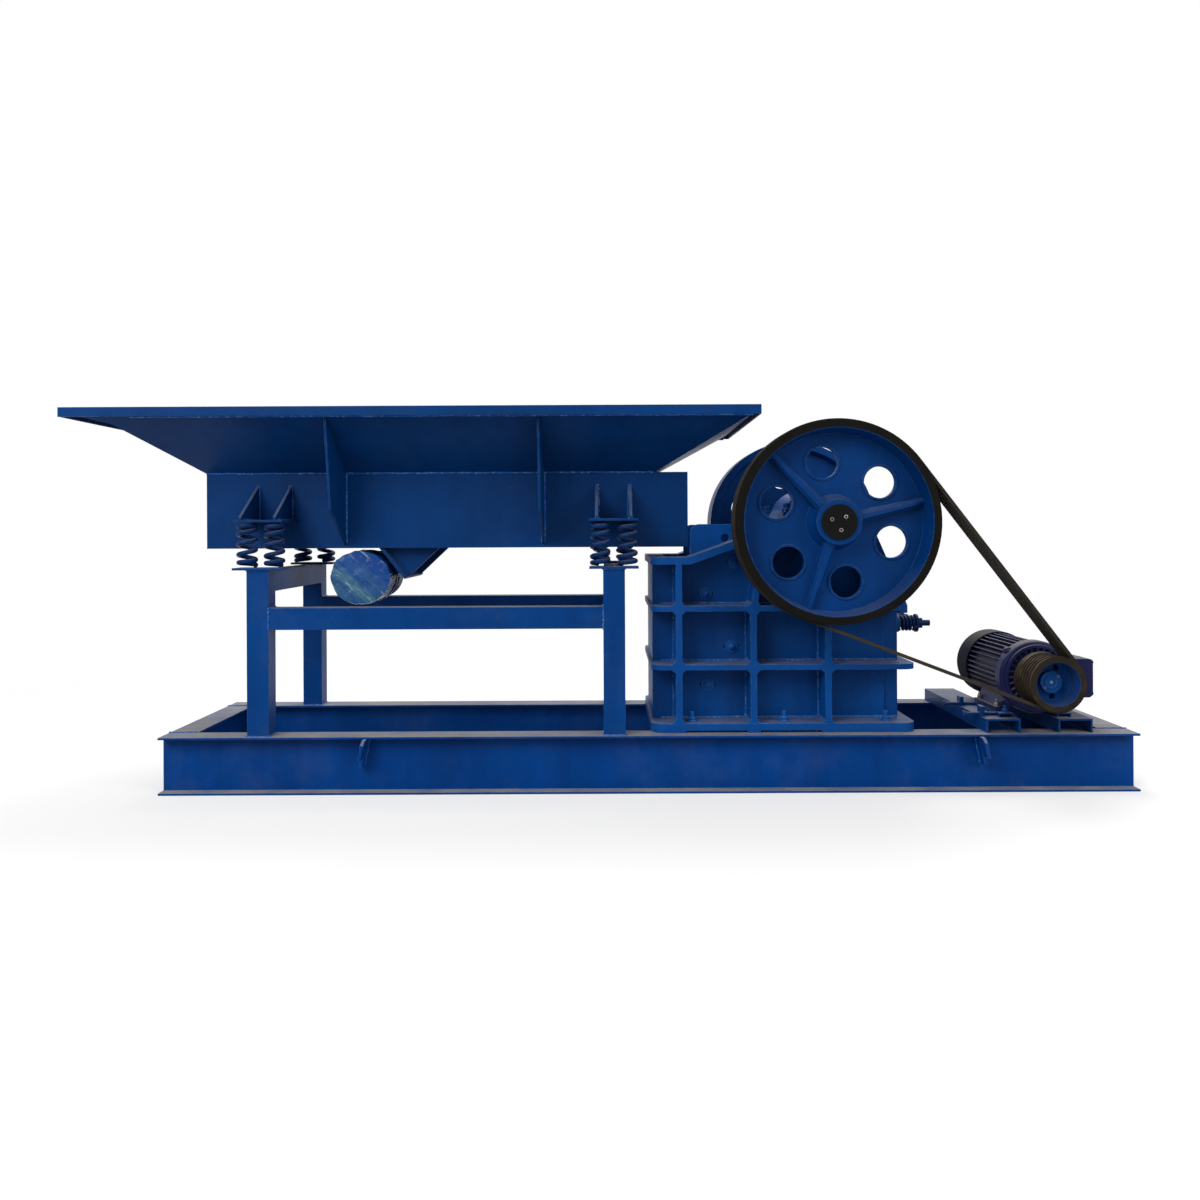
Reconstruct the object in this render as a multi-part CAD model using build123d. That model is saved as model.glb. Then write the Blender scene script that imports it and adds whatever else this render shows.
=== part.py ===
"""Skid-mounted jaw crusher with a spring-carried vibrating feeder, an electric motor and a belt drive.

Millimetres. +X runs along the skid from the feeder to the motor, +Y away from the belt side, +Z up.
The origin is on the ground, in the middle of the machine's length and width.
"""
import os
from math import acos, atan2, cos, degrees, hypot, pi, radians, sin, tan

from build123d import *

# Skid of rolled H beams
beam_height = 250.0
beam_flange = 125.0
beam_flange_thick = 9.0
beam_web = 6.0
hopper_overhang_length = 360.0
hook_inset_left = 900.0
hook_inset_right = 690.0
hook_height = 124.0
hook_reach = 112.0
hook_thick = 14.0
hook_leg = 50.0
hook_slot = 14.0
hook_slot_drop = 47.0
hook_finger_drop = 84.0
hook_corner = 18.0
hook_lean = 24.0

# Feeder stand
leg_size = 95.0
leg_wall = 6.0
stand_left_inset = 431.0
stand_span = 1551.0
stretcher_drop = 165.0
stretcher_depth = 95.0

# Feeder springs and their seats
seat_length = 215.0
seat_depth = 115.0
seat_thick = 10.0
spring_spacing = 120.0
spring_diameter = 92.0
spring_wire = 21.0
spring_turns = 4.5
spring_height = 199.0
spring_seat_gap = 0.3

# Feeder trough
trough_wall = 10.0
trough_floor = 14.0
trough_height = 343.0
trough_floor_drop = 118.0
trough_ledge_gap = 43.0
trough_left_inset = 120.0
trough_length = 2202.0
bracket_overhang = 49.5
bracket_rise = 160.0
bracket_toe = 12.0
bracket_rib = 12.0
bracket_rib_spacing = 150.0

# Hopper over the trough
hopper_height = 262.0
hopper_width = 1200.0
hopper_length = 2966.0
hopper_plate = 8.0
rim_height = 40.0
rim_thick = 8.0
lip_length = 192.0
lip_rise = 45.0
lower_opening = 2051.0
gusset_thick = 10.0
gusset_left = 634.0
gusset_right = 1541.0
gusset_reach = 260.0
gusset_foot = 14.0
gusset_shoulder = 170.0
gusset_top_gap = 26.0

# Vibrator under the trough
vibrator_length = 440.0
vibrator_radius = 116.0
vibrator_body_radius = 106.0
vibrator_cover = 120.0
vibrator_round = 24.0
vibrator_foot_length = 190.0
vibrator_foot_neck = 148.0
vibrator_foot_ahead = 85.0
vibrator_foot_gap = 4.0
vibrator_standoff = 165.0
vibrator_along = 40.0
mount_left = 804.0
mount_width = 250.0
mount_depth = 134.0
mount_apex = 108.0
mount_plate = 14.0
mount_cheek = 12.0
mount_cheek_inset = 72.0

# Crusher frame
crusher_left_inset = 2144.0
frame_length = 1168.0
frame_width = 824.0
feed_end_rib = 12.0
toggle_end_rib = 40.0
side_rib_depth = 150.0
wall_thick = 40.0
feed_wall_thick = 68.0
base_thick = 40.0
rib_corner = 60.0
rib_thick = 24.0
rib_level_low = 275.0
rib_level_high = 533.0
feed_ledge_height = 773.0
feed_ledge_thick = 33.0
feed_ledge_length = 156.0
upright_thick = 28.0
upright_spacing = 328.0
brace_lean = 60.0
rib_crossing = 16.0
rear_step_length = 68.0
rear_step_depth = 20.0
rear_lip = 23.0
crusher_foot_lap = 62.0
foot_relief = 9.0
foot_relief_length = 270.0
cheek_slot_length = 74.0
cheek_slot_height = 20.0
cheek_slot_depth = 14.0
cheek_slots = ((-526.0, 603.0), (-394.0, 744.0), (-517.0, 190.0), (-408.0, 363.0))

# Main bearings and eccentric shaft
shaft_height = 922.0
shaft_from_left = 779.0
shaft_end_radius = 50.0
journal_radius = 60.0
eccentric_radius = 68.0
eccentricity = 10.0
running_clearance = 0.1
housing_radius = 132.0
housing_width = 150.0
housing_foot = 190.0
housing_foot_thick = 46.0
saddle_clearance = 0.3

# Jaws and liners
jaw_opening = 250.0
jaw_discharge = 40.0
jaw_plate_thick = 46.0
jaw_plate_bottom = 210.0
jaw_plate_top = 760.0
jaw_tooth_depth = 14.0
jaw_teeth = 8
jaw_tooth_crest = 15.0
liner_thick = 20.0
liner_top = 919.0
liner_bottom = 300.0
liner_left_gap = 108.0
liner_length = 380.0
liner_corner = 42.0
liner_hole_radius = 20.0
liner_hole_inset = 160.0
liner_hole_drop = 64.0
jaw_side_gap = 4.0
barrel_radius = 165.0
barrel_bore = 105.0
barrel_cover_thick = 16.0
barrel_crown_angle = 60.0
jaw_beam_thick = 120.0
toggle_thick = 32.0
toggle_seat_size = 120.0
toggle_seat_reach = 260.0
toggle_height_rear = 330.0
toggle_height_front = 220.0
toggle_fit = 0.3
rod_height = 453.0
rod_radius = 14.0
rod_spacing = 230.0
rod_reach = 147.0
rod_hole_clearance = 3.0
rod_spring_diameter = 74.0
rod_spring_wire = 13.0
rod_spring_length = 78.0
rod_spring_turns = 4.0
rod_washer_radius = 42.0
rod_washer_thick = 10.0
rod_nut_radius = 26.0
rod_nut_length = 22.0

# Flywheels
wheel_radius = 430.0
wheel_width = 190.0
wheel_gap = 36.0
wheel_rim_thick = 34.0
wheel_rim_taper = 14.0
wheel_web = 26.0
wheel_web_back = 58.0
wheel_hub_radius = 95.0
wheel_hub_foot = 120.0
wheel_hub_flare = 52.0
wheel_hole_radius = 68.0
wheel_hole_circle = 260.0
wheel_hole_lip = 9.0
wheel_hole_lip_rise = 6.0
wheel_holes = 6
wheel_hole_angle = 101.0
wheel_rib_angle = 13.0
wheel_ribs = 3
wheel_rib_hub = 54.0
wheel_rib_rim = 30.0
wheel_rib_rise = 66.0
wheel_rib_rim_rise = 22.0
wheel_rib_sink = 14.0
cap_radius = 75.0
cap_thick = 8.0

# Belt drive
belt_count = 5
belt_top = 22.0
belt_depth = 14.0
belt_pitch = 25.5
belt_angle = 19.0
belt_proud = 6.0
belt_shift = 16.0
belt_clearance = 0.4
groove_floor_gap = 4.0
pulley_radius = 118.0
pulley_width = 180.0
pulley_bore_depth = 96.0
pulley_wall = 26.0
pulley_web = 24.0
pulley_hub_radius = 46.0
pulley_hole_radius = 13.0
pulley_hole_circle = 66.0
pulley_hole_depth = 45.0
pulley_hole_angles = (64.0, -80.0)

# Electric motor and its slides
motor_behind_crusher = 526.0
motor_from_right = 422.0
motor_axis_height = 238.0
motor_foot_height = 160.0
motor_front_gap = 40.0
motor_length = 585.0
motor_radius = 132.0
motor_fin_rise = 20.0
motor_fin_sink = 10.0
motor_fin_thick = 5.0
motor_fins = 40
motor_shield_radius = 160.0
motor_shield_length = 62.0
motor_shield_round = 15.5
motor_fan_length = 120.0
motor_fan_lap = 24.0
motor_fan_fit = 0.3
motor_fan_wall = 6.0
motor_fan_end = 18.0
motor_fan_round = 18.0
motor_fan_slots = 16
motor_fan_slot = 9.0
motor_fan_slot_start = 46.0
motor_fan_slot_stop = 124.0
motor_shaft_radius = 21.0
motor_boss_radius = 62.0
motor_boss_length = 14.0
motor_foot_spacing = 254.0
motor_foot_width = 62.0
motor_foot_length = 270.0
motor_foot_thick = 20.0
motor_foot_toe = 15.5
motor_web_sink = 8.0
motor_web_outer = 32.0
motor_web_inner = 69.0
box_width = 118.0
box_depth = 160.0
box_height = 172.0
box_raise = -14.0
box_round = 12.5
box_pad_height = 100.0
box_pad_sink = 60.0
slide_channel_width = 150.0
slide_channel_height = 60.0
slide_channel_spacing = 314.0
slide_channel_wall = 8.0
slide_channel_inset = 35.0
slide_rail_width = 62.0
slide_rail_wall = 6.0
slide_rail_length = 360.0
stop_height = 44.0
stop_width = 50.0
stop_thick = 16.0
stop_screw_radius = 8.0
stop_screw_length = 62.0
stop_head_radius = 14.0
stop_head_length = 12.0

# Places that follow from the sizes above
skid_length = crusher_left_inset + frame_length + motor_behind_crusher + motor_from_right
skid_width = frame_width + 2 * (beam_flange - crusher_foot_lap)
overall_length = skid_length + hopper_overhang_length
skid_right = overall_length / 2
skid_left = skid_right - skid_length
beam_y = skid_width / 2 - beam_flange / 2
deck = beam_height
stand_left = skid_left + stand_left_inset
stand_right = stand_left + stand_span
trough_bottom = deck + feed_ledge_height + trough_ledge_gap
spring_top = trough_bottom + trough_floor_drop
spring_bottom = spring_top - spring_height
leg_top = spring_bottom - seat_thick
bracket_z = spring_top + seat_thick
trough_top = trough_bottom + trough_height
trough_left = skid_left + trough_left_inset
trough_right = trough_left + trough_length
trough_half = frame_width / 2 - side_rib_depth - wall_thick
hopper_left = skid_left - hopper_overhang_length
hopper_right = hopper_left + hopper_length
hopper_half = hopper_width / 2
hopper_top = trough_top + hopper_height
rim_bottom = hopper_top - rim_height
panel_top = rim_bottom + rim_height / 2
lower_right = trough_left + lower_opening
frame_left = skid_left + crusher_left_inset
frame_right = frame_left + frame_length
frame_half = frame_width / 2
wall_out = frame_half - side_rib_depth
wall_in = wall_out - wall_thick
body_left = frame_left + feed_end_rib
body_right = frame_right - toggle_end_rib
chamber_left = body_left + feed_wall_thick
rear_top = deck + rib_level_high + rear_lip
shaft_x = frame_left + shaft_from_left
shaft_z = deck + shaft_height
wheel_in = frame_half + wheel_gap
wheel_out = wheel_in + wheel_width
motor_x = frame_right + motor_behind_crusher
motor_z = deck + motor_axis_height
belt_mid = wheel_in + wheel_width / 2
belt_y = belt_mid + belt_shift
motor_front = belt_mid - pulley_width / 2 - motor_front_gap
motor_rear = motor_front - motor_length
slide_top = deck + slide_channel_height
motor_foot_z = motor_z - motor_foot_height


def block(x0, x1, y0, y1, z0, z1):
    """Box between two corners."""
    size = (x1 - x0, y1 - y0, z1 - z0)
    return Pos((x0 + x1) / 2, (y0 + y1) / 2, (z0 + z1) / 2) * Box(*size)


def prism_xz(points, y0, y1):
    """Outline in X and Z, drawn out along Y."""
    face = make_face(Polyline(*points, close=True))
    return extrude(Plane.XZ.offset(-y1) * face, amount=y1 - y0)


def prism_yz(points, x0, x1):
    """Outline in Y and Z, drawn out along X."""
    face = make_face(Polyline(*points, close=True))
    return extrude(Plane.YZ.offset(x0) * face, amount=x1 - x0)


def rod_y(radius, x, z, y0, y1):
    """Round bar along Y."""
    return Pos(x, (y0 + y1) / 2, z) * Rot(90, 0, 0) * Cylinder(radius, y1 - y0)


def rod_x(radius, y, z, x0, x1):
    """Round bar along X."""
    return Pos((x0 + x1) / 2, y, z) * Rot(0, 90, 0) * Cylinder(radius, x1 - x0)


def turned(profile):
    """Solid of revolution about Z from radius and height pairs."""
    face = Plane.XZ * make_face(Polyline(*profile, close=True))
    return revolve(face, Axis.Z)


def facing_front(x, y, z):
    """Place for a part drawn as seen from the belt side, with its own +Z towards the viewer."""
    return Pos(x, y, z) * Rot(90, 0, 0)


def both_sides(piece):
    """The piece and its mirror image across the machine's middle plane."""
    return Compound([*piece.solids(), *mirror(piece, Plane.XZ).solids()])


def coil(diameter, wire, height, turns):
    """Helical compression spring standing on its own XY plane."""
    rise = height - wire
    line = Helix(rise / turns, rise, (diameter - wire) / 2, center=(0, 0, wire / 2))
    section = Plane(origin=line @ 0, z_dir=line % 0) * Circle(wire / 2)
    return sweep(section, path=line, is_frenet=True)


def h_section(flange, height, web, flange_thick):
    """H profile with its lower flange on the local X axis."""
    top = Pos(0, height - flange_thick / 2) * Rectangle(flange, flange_thick)
    bottom = Pos(0, flange_thick / 2) * Rectangle(flange, flange_thick)
    stem = Pos(0, height / 2) * Rectangle(web, height)
    return top + bottom + stem


def long_rail():
    """H beam along the belt side of the skid."""
    section = h_section(beam_flange, beam_height, beam_web, beam_flange_thick)
    return Pos(0, -beam_y, 0) * extrude(Plane.YZ.offset(skid_left) * section, amount=skid_length)


def cross_beam(x):
    """H beam across the skid, its web cut to reach the webs of the long rails."""
    between = skid_width / 2 - beam_flange
    section = h_section(beam_flange, beam_height, beam_web, beam_flange_thick)
    beam = Pos(x, 0, 0) * extrude(Plane.XZ.offset(-between) * section, amount=2 * between)
    reach = beam_y - beam_web / 2
    low = beam_flange_thick
    tongue = block(x - beam_web / 2, x + beam_web / 2, -reach, reach, low, beam_height - low)
    return beam + tongue


def tie_hook(x, lean):
    """Plate hook on the outer face of a rail's web, its foot set along the rail by the lean."""
    web_face = -beam_y - beam_web / 2
    top = beam_height - beam_flange_thick
    low = top - hook_height
    tip = web_face - hook_reach
    slot = web_face - hook_leg
    profile = [
        (web_face, top),
        (web_face, low),
        (slot, low),
        (slot, top - hook_slot_drop),
        (slot - hook_slot, top - hook_slot_drop),
        (slot - hook_slot, top - hook_finger_drop),
        (tip, top - hook_finger_drop),
        (tip, top - hook_corner),
        (tip + hook_corner, top),
    ]
    half = hook_thick / 2
    plate = [(x - half, top), (x + half, top), (x + half + lean, low), (x - half + lean, low)]
    room = hook_thick + hook_lean
    return prism_yz(profile, x - room, x + room) & prism_xz(plate, tip, web_face)


def leg(x):
    """Square tube leg on the belt side."""
    half = leg_size / 2
    outer = block(x - half, x + half, -beam_y - half, -beam_y + half, deck, leg_top)
    room = half - leg_wall
    return outer - block(x - room, x + room, -beam_y - room, -beam_y + room, deck, leg_top)


def spring_seat(x):
    """Plate on top of a leg that carries two springs."""
    half = seat_length / 2
    reach = seat_depth / 2
    return block(x - half, x + half, -beam_y - reach, -beam_y + reach, leg_top, spring_bottom)


def side_stretcher():
    """Tube between the two legs of the belt side."""
    top = leg_top - stretcher_drop
    start = stand_left + leg_size / 2
    stop = stand_right - leg_size / 2
    half = leg_size / 2
    outer = block(start, stop, -beam_y - half, -beam_y + half, top - stretcher_depth, top)
    inner = block(start, stop, -beam_y - half + leg_wall, -beam_y + half - leg_wall,
                  top - stretcher_depth + leg_wall, top - leg_wall)
    return outer - inner


def end_stretcher(x):
    """Tube between a front and a rear leg, level with their tops."""
    half = leg_size / 2
    reach = beam_y - half
    outer = block(x - half, x + half, -reach, reach, leg_top - stretcher_depth, leg_top)
    inner = block(x - half + leg_wall, x + half - leg_wall, -reach, reach,
                  leg_top - stretcher_depth + leg_wall, leg_top - leg_wall)
    return outer - inner


def spring_pair(x):
    """Two coil springs side by side over a leg."""
    height = spring_height - 2 * spring_seat_gap
    one = coil(spring_diameter, spring_wire, height, spring_turns)
    z = spring_bottom + spring_seat_gap
    spots = (x - spring_spacing / 2, x + spring_spacing / 2)
    return Compound([s for spot in spots for s in (Pos(spot, -beam_y, z) * one).solids()])


def trough():
    """Open-ended steel tray that carries the rock to the crusher."""
    floor_top = trough_bottom + trough_floor
    shell = block(trough_left, trough_right, -trough_half, trough_half, trough_bottom, trough_top)
    inside = block(trough_left + trough_wall, trough_right, -trough_half + trough_wall,
                   trough_half - trough_wall, floor_top, trough_top)
    return shell - inside


def spring_bracket(x):
    """Shelf with two triangular ribs that hangs the trough on a pair of springs."""
    half = seat_length / 2
    front = -beam_y - bracket_overhang
    shelf = block(x - half, x + half, front, -trough_half, spring_top, bracket_z)
    profile = [
        (-trough_half, bracket_z),
        (front, bracket_z),
        (front, bracket_z + bracket_toe),
        (-trough_half, bracket_z + bracket_rise),
    ]
    for side in (-1, 1):
        rib_x = x + side * bracket_rib_spacing / 2
        shelf += prism_yz(profile, rib_x - bracket_rib / 2, rib_x + bracket_rib / 2)
    return shelf


def plate_skew(run, rise):
    """Level width of a hopper plate whose slope covers a run and a rise."""
    return hopper_plate * hypot(run, rise) / rise


def side_skew():
    """Level width of the hopper's side plates."""
    return plate_skew(hopper_half - rim_thick - trough_half, panel_top - trough_top)


def side_panel():
    """Sloping hopper plate on the belt side."""
    top_y = hopper_half - rim_thick
    strip = [
        (-trough_half, trough_top),
        (-trough_half + side_skew(), trough_top),
        (-top_y + side_skew(), panel_top),
        (-top_y, panel_top),
    ]
    long_section = [
        (trough_left, trough_top),
        (lower_right, trough_top),
        (hopper_right - rim_thick, panel_top),
        (hopper_left + rim_thick, panel_top),
        (hopper_left + lip_length, panel_top - lip_rise),
    ]
    return prism_yz(strip, hopper_left, hopper_right) & prism_xz(long_section, -hopper_half, hopper_half)


def between_side_panels(outline):
    """Hopper end plate with this long section, fitted between the two side plates."""
    top_y = hopper_half - rim_thick - side_skew()
    low_y = trough_half - side_skew()
    room = [(-low_y, trough_top), (low_y, trough_top), (top_y, panel_top), (-top_y, panel_top)]
    return prism_xz(outline, -hopper_half, hopper_half) & prism_yz(room, hopper_left, hopper_right)


def loading_panel():
    """Hopper end plate at the loading end, bent flatter into a lip."""
    lip_x = hopper_left + lip_length
    lip_z = panel_top - lip_rise
    skew = plate_skew(lip_x - trough_left, lip_z - trough_top)
    return between_side_panels([
        (trough_left, trough_top),
        (trough_left + skew, trough_top),
        (lip_x + skew, lip_z),
        (hopper_left + rim_thick + skew, panel_top),
        (hopper_left + rim_thick, panel_top),
        (lip_x, lip_z),
    ])


def discharge_panel():
    """Hopper end plate above the crusher's mouth."""
    top_x = hopper_right - rim_thick
    skew = plate_skew(top_x - lower_right, panel_top - trough_top)
    return between_side_panels([
        (lower_right, trough_top),
        (lower_right - skew, trough_top),
        (top_x - skew, panel_top),
        (top_x, panel_top),
    ])


def hopper_rim():
    """Flat bar around the top of the hopper."""
    outer = block(hopper_left, hopper_right, -hopper_half, hopper_half, rim_bottom, hopper_top)
    inner = block(hopper_left + rim_thick, hopper_right - rim_thick, -hopper_half + rim_thick,
                  hopper_half - rim_thick, rim_bottom, hopper_top)
    return outer - inner


def hopper_gusset(x):
    """Tall web plate that props a hopper side against the trough wall."""
    top_y = hopper_half - rim_thick
    slope = (panel_top - trough_top) / (top_y - trough_half)
    tip_y = top_y - gusset_top_gap
    tip_z = trough_top + slope * (tip_y - trough_half)
    profile = [
        (-trough_half, trough_bottom + gusset_foot),
        (-trough_half - gusset_reach, trough_bottom + gusset_shoulder),
        (-tip_y, tip_z),
        (-trough_half, trough_top),
    ]
    return prism_yz(profile, x - gusset_thick / 2, x + gusset_thick / 2)


def vibrator_mount():
    """Wedge under the trough whose steep face carries the vibrator."""
    left = trough_left + mount_left
    right = left + mount_width
    apex = (left + mount_apex, trough_bottom - mount_depth)
    cheeks = []
    outline = [(left, trough_bottom), (right, trough_bottom), apex]
    for side in (-1, 1):
        y = side * (trough_half - mount_cheek_inset)
        cheeks.append(prism_xz(outline, y - mount_cheek / 2, y + mount_cheek / 2))
    length = hypot(mount_apex, mount_depth)
    along = (mount_apex / length, -mount_depth / length)
    out = (along[1], -along[0])
    back = trough_half - trough_wall
    plate = prism_xz([
        (left, trough_bottom),
        apex,
        (apex[0] + out[0] * mount_plate, apex[1] + out[1] * mount_plate),
        (left + mount_plate * out[0] - mount_plate * along[0] * out[1] / along[1], trough_bottom),
    ], -back, back)
    return cheeks[0] + cheeks[1] + plate


def vibrator_place():
    """Axis of the vibrator in X and Z."""
    left = trough_left + mount_left
    length = hypot(mount_apex, mount_depth)
    along = (mount_apex / length, -mount_depth / length)
    out = (along[1], -along[0])
    x = left + along[0] * vibrator_along + out[0] * vibrator_standoff
    z = trough_bottom + along[1] * vibrator_along + out[1] * vibrator_standoff
    return x, z, along, out


def vibrator():
    """Unbalance motor with a weight cover at each end and a foot block."""
    x, z, along, out = vibrator_place()
    half = vibrator_length / 2
    shoulder = half - vibrator_cover
    profile = [
        (0, -half),
        (vibrator_radius - vibrator_round, -half),
        (vibrator_radius, -half + vibrator_round),
        (vibrator_radius, -shoulder),
        (vibrator_body_radius, -shoulder),
        (vibrator_body_radius, shoulder),
        (vibrator_radius, shoulder),
        (vibrator_radius, half - vibrator_round),
        (vibrator_radius - vibrator_round, half),
        (0, half),
    ]
    body = facing_front(x, 0, z) * turned(profile)
    reach = vibrator_standoff - mount_plate

    def at(ahead, inward):
        return (x + along[0] * ahead - out[0] * inward, z + along[1] * ahead - out[1] * inward)

    foot = [
        at(-vibrator_foot_neck / 2, 0),
        at(vibrator_foot_neck / 2, 0),
        at(vibrator_foot_ahead, reach),
        at(vibrator_foot_gap - vibrator_along, reach),
    ]
    return body + prism_xz(foot, -vibrator_foot_length / 2, vibrator_foot_length / 2)


def frame_plan(level, thick):
    """Slab as large as the crusher frame's flanges, with rounded corners."""
    sheet = Rectangle(frame_length, frame_width)
    sheet = fillet(sheet.vertices(), rib_corner)
    x = (frame_left + frame_right) / 2
    return Pos(x, 0, level) * extrude(sheet, amount=thick)


def rib_ring(level, thick):
    """Flange around the crusher frame, with rounded corners."""
    ring = frame_plan(level, thick)
    return ring - block(body_left, body_right, -wall_out, wall_out, level, level + thick)


def side_outline():
    """Side elevation of a crusher side wall, from the base to the bearing seat."""
    foot = deck + base_thick
    ledge = deck + feed_ledge_height
    return [
        (body_left, foot),
        (body_left, ledge),
        (body_left + feed_ledge_length, ledge),
        (shaft_x - housing_foot, shaft_z),
        (shaft_x + housing_foot, shaft_z),
        (body_right, rear_top),
        (body_right, foot),
    ]


def top_flange():
    """Flange along the top edge: feed ledge, slope, bearing seat and the fall to the rear wall."""
    edge = side_outline()[1:6]
    inner = offset(Polyline(*side_outline(), close=True), -feed_ledge_thick, kind=Kind.INTERSECTION)
    sheet = make_face(Polyline(*side_outline(), close=True)) - make_face(inner)
    low = min(z for x, z in edge) - feed_ledge_thick
    band = extrude(Plane.XZ.offset(wall_out) * sheet, amount=side_rib_depth)
    sides = block(body_left, body_right, -frame_half, -wall_out, low, shaft_z)
    ledge_cut = block(body_left, body_left + feed_ledge_thick, -frame_half, -wall_out, low,
                      deck + feed_ledge_height - feed_ledge_thick)
    return (band & sides & frame_plan(low, shaft_z - low)) - ledge_cut


def crossing_corners():
    """Slanted fillers in the pocket corners, where the side frame's ribs meet."""
    low = deck + rib_level_low
    high = deck + rib_level_high
    lean = brace_lean / (shaft_z - high)
    spots = [(deck + base_thick, 1), (low, -1), (low + rib_thick, 1), (high, -1), (high + rib_thick, 1)]
    corners = []
    for count in range(3):
        for side in (-1, 1):
            edge = shaft_x - count * upright_spacing + side * upright_thick / 2
            for z, rise in spots:
                tip = z + rise * rib_crossing
                slope = lean if count == 1 and z > high else 0
                corners.append(prism_xz([
                    (edge + slope * (z - high), z),
                    (edge + slope * (z - high) + side * rib_crossing, z),
                    (edge + slope * (tip - high), tip),
                ], -frame_half, -wall_out))
    return corners


def side_frame():
    """Crusher side wall on the belt side, with its grid of deep ribs."""
    wall = prism_xz(side_outline(), -wall_out, -wall_in)
    wall -= block(body_right - rear_step_length, body_right, -wall_out, -wall_out + rear_step_depth,
                  deck + base_thick, rear_top + rear_step_length * 2)
    for x, z in cheek_slots:
        slot = SlotOverall(cheek_slot_length, cheek_slot_height)
        cut = extrude(slot, amount=cheek_slot_depth)
        wall -= facing_front(shaft_x + x, -wall_out + cheek_slot_depth, deck + z) * cut
    levels = (deck + rib_level_low, deck + rib_level_high)
    for level, right in zip(levels, (frame_right, body_right)):
        ahead = block(frame_left, right, -frame_half, -wall_out, deck, shaft_z)
        wall += rib_ring(level, rib_thick) & ahead
    ledge = deck + feed_ledge_height - feed_ledge_thick
    corner = block(frame_left, body_left, -frame_half, -wall_out, ledge, ledge + feed_ledge_thick)
    wall += rib_ring(ledge, feed_ledge_thick) & corner
    wall += top_flange()
    outline = prism_xz(side_outline(), -frame_half, -wall_out)
    for count in range(3):
        x = shaft_x - count * upright_spacing
        top = shaft_z if count != 1 else levels[1]
        half = upright_thick / 2
        post = block(x - half, x + half, -frame_half, -wall_out, deck + base_thick, top)
        wall += post & outline
    brace_x = shaft_x - upright_spacing
    brace = prism_xz([
        (brace_x - upright_thick / 2, levels[1]),
        (brace_x + upright_thick / 2, levels[1]),
        (brace_x + upright_thick / 2 + brace_lean, shaft_z),
        (brace_x - upright_thick / 2 + brace_lean, shaft_z),
    ], -frame_half, -wall_out)
    wall += brace & outline
    wall += crossing_corners()
    return wall - rod_y(housing_radius + saddle_clearance, shaft_x, shaft_z, -frame_half, -wall_in)


def base_flange():
    """Foot flange of the crusher, open in the middle for the crushed rock."""
    plate = rib_ring(deck, base_thick)
    inner = block(body_left, body_right, -wall_out, wall_out, deck, deck + base_thick)
    mouth = block(chamber_left, body_right - wall_thick, -wall_in, wall_in, deck, deck + base_thick)
    plate += inner - mouth
    for count in range(2):
        x = shaft_x - upright_spacing * (count + 0.5)
        half = foot_relief_length / 2
        plate -= block(x - half, x + half, -frame_half, frame_half, deck, deck + foot_relief)
    return plate


def end_wall_ribs(x0, x1, levels):
    """Flange stretches across one end of the crusher frame."""
    band = block(x0, x1, -wall_out, wall_out, deck, shaft_z)
    parts = [rib_ring(level, thick) & band for level, thick in levels]
    return parts


def feed_wall():
    """Front end wall behind the fixed jaw."""
    top = deck + feed_ledge_height
    wall = block(body_left, chamber_left, -wall_in, wall_in, deck + base_thick, top)
    levels = [
        (deck + rib_level_low, rib_thick),
        (deck + rib_level_high, rib_thick),
        (top - feed_ledge_thick, feed_ledge_thick),
    ]
    for rib in end_wall_ribs(frame_left, body_left, levels):
        wall += rib
    return wall


def toggle_wall():
    """Rear end wall that takes the toggle's thrust."""
    wall = block(body_right - wall_thick, body_right, -wall_in, wall_in, deck + base_thick, rear_top)
    for rib in end_wall_ribs(body_right, frame_right, [(deck + rib_level_low, rib_thick)]):
        wall += rib
    for side in (-1, 1):
        y = side * rod_spacing / 2
        hole = rod_radius + rod_hole_clearance
        wall -= rod_x(hole, y, deck + rod_height, body_right - wall_thick, body_right)
        wall += rod_boss(side)
    return wall


def bearing_housing():
    """Round bearing block in the belt-side wall's saddle, with ears that bolt down on the wall's top."""
    y0 = -wall_in - housing_width
    y1 = -wall_in
    drum = rod_y(housing_radius, shaft_x, shaft_z, y0, y1)
    left = shaft_x - housing_foot
    right = shaft_x + housing_foot
    ears = block(left, right, y0, y1, shaft_z, shaft_z + housing_foot_thick)
    return drum + ears - rod_y(journal_radius + running_clearance, shaft_x, shaft_z, y0, y1)


def toothed_plate():
    """Jaw plate with upright teeth, standing on its own XY plane with its crests at X = 0."""
    half = wall_in - liner_thick - jaw_side_gap
    pitch = 2 * half / jaw_teeth
    points = [(jaw_plate_thick, -half)]
    for tooth in range(jaw_teeth):
        start = -half + tooth * pitch
        points.append((jaw_tooth_depth, start))
        points.append((0, start + (pitch - jaw_tooth_crest) / 2))
        points.append((0, start + (pitch + jaw_tooth_crest) / 2))
    points.append((jaw_tooth_depth, half))
    points.append((jaw_plate_thick, half))
    face = make_face(Polyline(*points, close=True))
    return extrude(face, amount=jaw_plate_top - jaw_plate_bottom)


def fixed_jaw_plate():
    """Toothed plate against the feed end wall."""
    back = chamber_left
    plate = Rot(0, 0, 180) * toothed_plate()
    return Pos(back + jaw_plate_thick, 0, deck + jaw_plate_bottom) * plate


def swing_face():
    """Bottom point of the moving jaw's crests, and its lean from the upright in degrees."""
    crest = chamber_left + jaw_plate_thick
    bottom = (crest + jaw_discharge, deck + jaw_plate_bottom)
    lean = degrees(atan2(jaw_opening - jaw_discharge, jaw_plate_top - jaw_plate_bottom))
    return bottom, lean


def swing_jaw_plate():
    """Toothed plate on the moving jaw."""
    bottom, lean = swing_face()
    return Pos(bottom[0], 0, bottom[1]) * Rot(0, lean, 0) * toothed_plate()


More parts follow.
